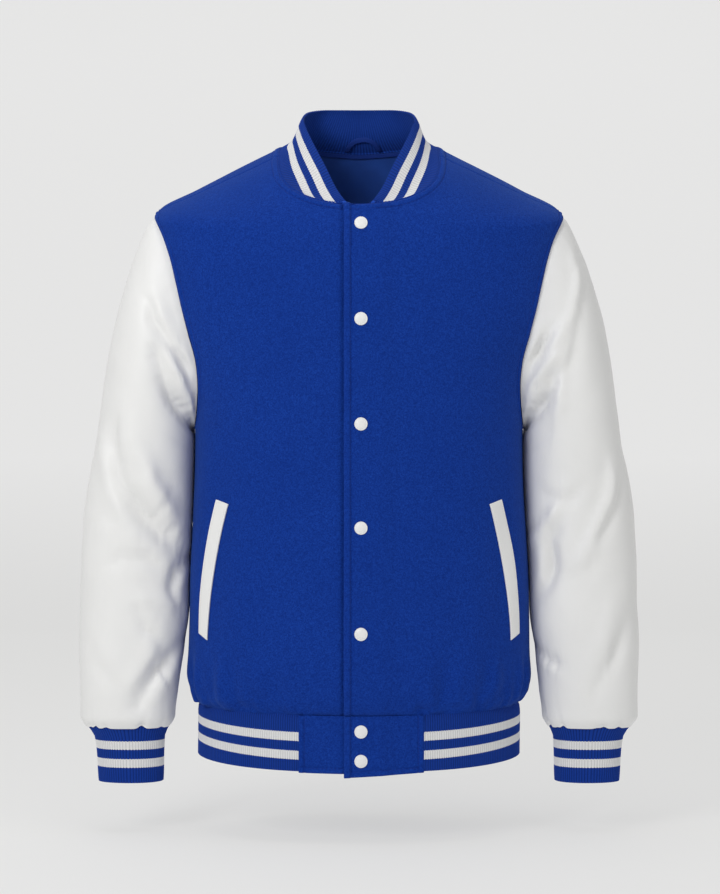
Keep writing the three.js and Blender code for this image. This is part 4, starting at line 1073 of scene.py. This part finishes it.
# What lies on the panels
def welt_place(along, across):
    """A place on the wearer's left welt: along from its top, across from its inner edge."""
    bow = WELT_BOW * 4 * along * (1 - along)
    inner = [lerp(WELT_INNER[0][i], WELT_INNER[1][i], along) for i in (0, 1)]
    outer = [lerp(WELT_OUTER[0][i], WELT_OUTER[1][i], along) for i in (0, 1)]
    return lerp(inner[0], outer[0], across) + bow, lerp(inner[1], outer[1], across)


def welt_lift(along, across):
    rim = np.minimum(np.minimum(across, 1 - across) * 15, np.minimum(along, 1 - along) * 155)
    return 0.35 * ramp(0, 1.6, rim) + WELT_RAISE - 0.25 * np.exp(-((rim - 2.0) / 0.7) ** 2)


def welt(side, sign):
    along, across = closer_at_ends(64, 0.3)[::-1][:, None], closer_at_ends(16, 0.3)
    x, level = welt_place(along, across)
    turn = turn_across(x, level)
    panel = f"front_{side}"
    lift = body_lift(sign * turn, level, panel) + welt_lift(along, across)
    points = body_point(turn, level, lift)
    if sign < 0:
        points = mirrored(points)
    piece = cloth(f"welt_{side}", points)
    finish_cloth(piece, [LEATHER], WELT_RAISE, soft_edge=0.7)
    take_over(piece, f"pocket_welt_{side}")


SNAP_RADIUS, SNAP_RIM = 7.25, 1.1
# How far each ring of the cap lies inside the one before, and how much higher
SNAP_RINGS = ((0.25, 0.4), (0.5, 0.15), (0.35, -0.25), (0.35, 0.28), (1.3, 0.42), (1.6, 0.32), (1.6, 0.14))


def snap_cap():
    """One snap cap, standing on the origin with its dome up."""
    bpy.ops.object.select_all(action="DESELECT")
    bpy.ops.mesh.primitive_cylinder_add(vertices=40, radius=SNAP_RADIUS * MM, depth=SNAP_RIM * MM,
                                        location=(0, 0, SNAP_RIM / 2 * MM))
    cap = bpy.context.object
    bpy.ops.object.transform_apply(location=True, rotation=True, scale=True)
    bpy.ops.object.mode_set(mode="EDIT")
    bpy.ops.mesh.select_all(action="DESELECT")
    bpy.ops.object.mode_set(mode="OBJECT")
    for face in cap.data.polygons:
        face.select = face.normal.z > 0.9
    bpy.ops.object.mode_set(mode="EDIT")
    for inset, rise in SNAP_RINGS:
        bpy.ops.mesh.inset(thickness=inset * MM, depth=0)
        bpy.ops.transform.translate(value=(0, 0, rise * MM))
    bpy.ops.object.mode_set(mode="OBJECT")
    bevel = cap.modifiers.new("edge", "BEVEL")
    bevel.width, bevel.segments, bevel.angle_limit = 0.3 * MM, 2, math.radians(50)
    only(cap)
    bpy.ops.object.modifier_apply(modifier="edge")
    bpy.ops.object.shade_smooth_by_angle(angle=math.radians(50))
    cap.data.materials.append(SNAP_WHITE)
    return cap


def snaps():
    cap = snap_cap()
    for number, height in enumerate(SNAP_HEIGHTS, 1):
        piece = cap.copy()
        piece.data = cap.data.copy()
        piece.name = piece.data.name = f"snap_cap_{number}"
        bpy.context.scene.collection.objects.link(piece)
        level = level_at_front(height)
        turn = turn_across(SNAP_X, level)
        if height > HEM_SEAM:
            lift = float(body_lift(turn, level, "front_left"))
        else:
            lift = float(tab_lift(np.array(SNAP_X), np.array(level), 1, TAB_LEFT_END))
        way = Vector(body_normal(turn, level))
        turned = way.to_track_quat("Z", "Y").to_matrix().to_4x4()
        turned.translation = Vector(body_point(turn, level, lift - 0.1)) * MM
        piece.data.transform(turned)
        take_over(piece, f"snap_{number}")
    bpy.data.objects.remove(cap)


def lining():
    rows = np.linspace(LINING_FIRST_ROW, LINING_LAST_ROW, 70)
    parts = np.linspace(0, LINING_REACH, 56)
    turn, level = panel_places(centre_chain, lambda row: side_chain(row, 1), rows, parts)
    level = level - 1.2 * (1 - ramp(0, 6, neck_level(turn) - level))
    turn, level, middle = both_halves(turn, level)
    plain = body_surface(turn, level)
    below = neck_level(turn) - level
    ease = 1.1 * soft_noise(plain, 38, 15.0) * ramp(4, 30, below) - 1.1 * ramp(4, 30, below)
    points = body_point(turn, level, -CLOTH - INSIDE_GAP + ease)
    piece = cloth("lining_cloth", points, slit=middle)
    finish_cloth(piece, [LINING], TRIM, soft_edge=0)
    take_over(piece, "back_lining")


def neck_tape():
    rows = np.linspace(ROWS_TO_NECK, LINING_LAST_ROW, 40)
    turn, level = centre_chain(rows)
    turn = np.append(turn[::-1], 2 * HALF_TURN - turn[1:])
    level = np.append(level[::-1], level[1:])
    drops = np.linspace(TAPE_DROPS[1], TAPE_DROPS[0], 5)[:, None]
    places = level - drops
    bulge = 0.2 * np.sin(HALF_TURN * drops / 5.6)
    points = body_point(turn, places, bulge - CLOTH - INSIDE_GAP - TRIM - TAPE_GAP)
    steps = np.append(0, np.cumsum(length_of(np.diff(points[0], axis=0))))
    piece = cloth("tape_cloth", points, uv=np.stack(np.broadcast_arrays(steps * MM, -drops * MM), -1))
    finish_cloth(piece, [TAPE], TRIM, soft_edge=0.2)
    take_over(piece, "neck_tape")


def hanger_loop():
    angle = np.linspace(0, HALF_TURN, 61)
    across = np.linspace(0, 1, 6)[:, None]
    part = 0.011 + 0.043 * (1 - 0.27 * across) * np.cos(angle)
    height = 0.03 + (0.36 - 0.11 * across) * np.sin(angle) ** 0.8
    points, out, _ = collar_row(part, height)
    points = points - out * (RIB_WALL + SEAM_GAP + LOOP_EASE)
    steps = np.append(0, np.cumsum(length_of(np.diff(points[0], axis=0))))
    uv = np.stack(np.broadcast_arrays(steps * MM, across * 6 * MM), -1)
    piece = cloth("loop_tape", points[::-1], uv=uv[::-1])
    finish_cloth(piece, [TAPE], TRIM, soft_edge=0.2)
    take_over(piece, "hanger_loop")


# Sewing
def stitch_shape():
    """One stitch along X, a rounded bar with a dozen corners."""
    bpy.ops.object.select_all(action="DESELECT")
    bpy.ops.mesh.primitive_uv_sphere_add(segments=6, ring_count=4, radius=1)
    bar = bpy.context.object
    corners = np.array([v.co[:] for v in bar.data.vertices])
    faces = [tuple(f.vertices) for f in bar.data.polygons]
    bpy.data.objects.remove(bar)
    return corners[:, [2, 0, 1]], faces


STITCH_CORNERS, STITCH_FACES = stitch_shape()
NECK_SEWN_LEFT, NECK_SEWN_RIGHT = -9.0, 14.0  # where the neck's stitches start, across from the middle


def sew(name, rows, material, pitch=3.2, long=2.3, thick=0.55):
    """Rows of stitches, each a line of points with the ways out of the cloth, joined into one piece."""
    corners, faces, count = [], [], 0
    for line, ways in rows:
        steps = np.append(0, np.cumsum(length_of(np.diff(line, axis=0))))
        number = int(steps[-1] / pitch)
        middles = (np.arange(number) + 0.5) * steps[-1] / number
        read = lambda values, at: np.stack([np.interp(at, steps, values[:, i]) for i in range(3)], -1)
        middle, out = read(line, middles), unit(read(ways, middles))
        along = unit(read(line, middles + 0.6) - read(line, middles - 0.6))
        side = unit(np.cross(out, along))
        shape = STITCH_CORNERS * [long / 2, thick / 2, thick / 2.6]
        placed = (middle[:, None] + shape[:, 0, None] * along[:, None] + shape[:, 1, None] * side[:, None]
                  + shape[:, 2, None] * out[:, None])
        corners.append(placed.reshape(-1, 3))
        for _ in range(number):
            faces += [tuple(count + i for i in face) for face in STITCH_FACES]
            count += len(STITCH_CORNERS)
    mesh = bpy.data.meshes.new(name)
    mesh.from_pydata((np.vstack(corners) * MM).tolist(), [], faces)
    mesh.update()
    piece = bpy.data.objects.new(name, mesh)
    bpy.context.scene.collection.objects.link(piece)
    mesh.materials.append(material)
    only(piece)
    bpy.ops.object.shade_smooth()
    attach(piece, "root")
    return piece


def on_panel(turn, level, panel, above=0.1):
    lift = body_lift(turn, level, panel)
    return body_point(turn, level, lift + above), body_normal(turn, level)


def armhole_rows(side, sign):
    rows = []
    angles = np.linspace(0.02, HALF_TURN - 0.02, 150)
    for at in ARMHOLE_STITCHES:
        for face, panel in ((-1, f"front_{side}"), (1, "back")):
            turn, level = armhole_place(angles, face, -at)
            inside = (level < ARMHOLE_TOP + at) & (turn < QUARTER) if face < 0 else turn > QUARTER
            turn = sign * turn if face < 0 else np.where(sign > 0, turn, 2 * HALF_TURN - turn)
            rows.append(on_panel(turn[inside], level[inside], panel))
    return rows


def neck_offset(turn, distance):
    level = neck_level(turn)
    slope = length_of(body_surface(turn, level) - body_surface(turn, level - 1.0))
    return level - distance / slope


def neck_rows():
    rows = []
    start, shoulder = turn_across(NECK_SEWN_LEFT, NECK_FRONT), turn_at_depth(SHOULDER_SEAM_Y, NECK_SIDE)
    for at in NECK_STITCHES:
        front = np.linspace(start, shoulder - 0.02, 90)
        rows.append(on_panel(front, neck_offset(front, at), "front_left"))
        other = -np.linspace(turn_across(NECK_SEWN_RIGHT, NECK_FRONT), shoulder - 0.02, 90)
        rows.append(on_panel(other, neck_offset(other, at), "front_right"))
        back = np.linspace(shoulder + 0.02, 2 * HALF_TURN - shoulder - 0.02, 120)
        rows.append(on_panel(back, neck_offset(back, at), "back"))
    return rows


def tab_point(x, level, side, end_x):
    turn = turn_across(x, level)
    point = body_point(turn, level, tab_lift(x, level, side, end_x) + 0.1)
    point[..., 2] -= tab_drop(x, level, side, end_x)
    ways = body_normal(turn, level)
    return (point, ways) if side > 0 else (point * [-1, 1, 1], ways * [-1, 1, 1])


def tab_rows(side, edge_x, end_x):
    across = np.linspace(edge_x + (EDGE_STITCH if side > 0 else 2), end_x - 6, 60)
    up = np.linspace(TAB_END + 5.6, HEM_SEAM - 2, 60)
    rows = [tab_point(across, np.full(60, TAB_END + 5.6), side, end_x),
            tab_point(np.full(60, end_x - 6), up, side, end_x)]
    if side > 0:
        rows.append(tab_point(np.full(60, edge_x + EDGE_STITCH), up, side, end_x))
    return rows


def welt_rows(side, sign):
    rows = []
    long_way, short_way = np.linspace(0.02, 0.98, 60), np.linspace(0.16, 0.84, 14)
    for along, across in ((long_way, np.full(60, 0.14)), (long_way, np.full(60, 0.86)),
                          (np.full(14, 0.014), short_way), (np.full(14, 0.986), short_way)):
        x, level = welt_place(along, across)
        turn = turn_across(x, level)
        lift = body_lift(sign * turn, level, f"front_{side}") + welt_lift(along, across) + 0.02
        point, ways = body_point(turn, level, lift), body_normal(turn, level)
        rows.append((point, ways) if sign > 0 else (point * [-1, 1, 1], ways * [-1, 1, 1]))
    return rows


def sewing():
    levels = np.linspace(HEM_SEAM + 2, neck_level(turn_across(NECK_SEWN_LEFT, NECK_FRONT)) - 10, 320)
    edge = on_panel(turn_across(OVERLAP_EDGE + EDGE_STITCH, levels), levels, "front_left")
    rows = [edge, *armhole_rows("left", 1), *armhole_rows("right", -1), *neck_rows()]
    rows += tab_rows(1, OVERLAP_EDGE, TAB_LEFT_END) + tab_rows(-1, UNDERLAP_EDGE, TAB_RIGHT_END)
    sew("body_stitches", rows, BLUE_THREAD)
    sew("welt_stitches", welt_rows("left", 1) + welt_rows("right", -1), WHITE_THREAD, 2.8, 2.0, 0.42)


front_panel("front_left", 1, OVERLAP_EDGE)
front_panel("front_right", -1, UNDERLAP_EDGE)
back_panel()
for side in ("left", "right"):
    sleeve(side)
    cuff(side)
collar()
hem()
tab("hem_tab_left", 1, OVERLAP_EDGE, TAB_LEFT_END)
tab("hem_tab_right", -1, UNDERLAP_EDGE, TAB_RIGHT_END)
welt("left", 1)
welt("right", -1)
snaps()
lining()
neck_tape()
hanger_loop()
sewing()


# Stage, light and camera
FLOOR_LEVEL, FLOOR_FRONT, FLOOR_BACK, FLOOR_SIDE = -768, -4200, 2600, 5500
BEND_RADIUS, WALL_HEIGHTS = 1600, [2400, 3600, 5200]


def backdrop():
    """A pale floor that bends up into a wall."""
    along_bend = np.linspace(0.1, QUARTER, 16)
    depth = np.concatenate([np.linspace(FLOOR_FRONT, FLOOR_BACK, 8),
                            FLOOR_BACK + BEND_RADIUS * np.sin(along_bend),
                            np.full(len(WALL_HEIGHTS), FLOOR_BACK + BEND_RADIUS)])
    height = np.concatenate([np.zeros(8), BEND_RADIUS * (1 - np.cos(along_bend)), WALL_HEIGHTS])
    width = np.linspace(-FLOOR_SIDE, FLOOR_SIDE, 3)
    points = np.stack(np.broadcast_arrays(width, depth[:, None], height[:, None] + FLOOR_LEVEL), -1)
    floor = cloth("floor", points)
    only(floor)
    bpy.ops.object.shade_smooth()
    finish = Finish("pale_floor", roughness=0.9, specular_ior_level=0.1, emission_strength=0.53)
    finish.shader.inputs["Emission Color"].default_value = (1.0, 1.0, 0.995, 1.0)
    up = finish.add("ShaderNodeSeparateXYZ", {0: finish.place()}).outputs[2]
    wall = finish.spread(up, -0.76, -0.36, 0.0, 1.0)
    finish.colour(finish.mix(wall, (0.29, 0.29, 0.285, 1.0), (0.455, 0.455, 0.455, 1.0)))
    finish.bump([(finish.noise(300, 2.0), 0.1, 0.2)])
    floor.data.materials.append(finish.material)


def softbox(name, place, aim, size, watts):
    light = bpy.data.lights.new(name, "AREA")
    light.shape, light.size, light.size_y = "RECTANGLE", size[0], size[1]
    light.energy = watts
    lamp = bpy.data.objects.new(name, light)
    lamp.location = place
    lamp.rotation_euler = (Vector(aim) - Vector(place)).to_track_quat("-Z", "Y").to_euler()
    bpy.context.scene.collection.objects.link(lamp)


backdrop()
softbox("key", (-1.25, -1.9, 0.75), (0, 0, -0.4), (1.0, 1.0), 25)
softbox("fill", (2.0, -2.0, 0.4), (0, 0, -0.35), (1.4, 1.4), 8)
softbox("top", (-0.2, -0.2, 1.6), (0, 0, -0.4), (1.6, 1.0), 10)
world = bpy.data.worlds.new("studio")
world.use_nodes = True
world.node_tree.nodes["Background"].inputs["Color"].default_value = (1.0, 1.0, 1.0, 1.0)
world.node_tree.nodes["Background"].inputs["Strength"].default_value = 0.38
bpy.context.scene.world = world
bpy.context.scene.view_settings.view_transform = "Standard"

camera = bpy.data.cameras.new("camera")
camera.lens = 91.04
camera.sensor_width = 36
camera.dof.use_dof = False
eye = bpy.data.objects.new("camera", camera)
eye.location = (0.00115, -2.6, -0.33)
eye.rotation_euler = (math.radians(90), 0, 0)
bpy.context.scene.collection.objects.link(eye)
bpy.context.scene.camera = eye
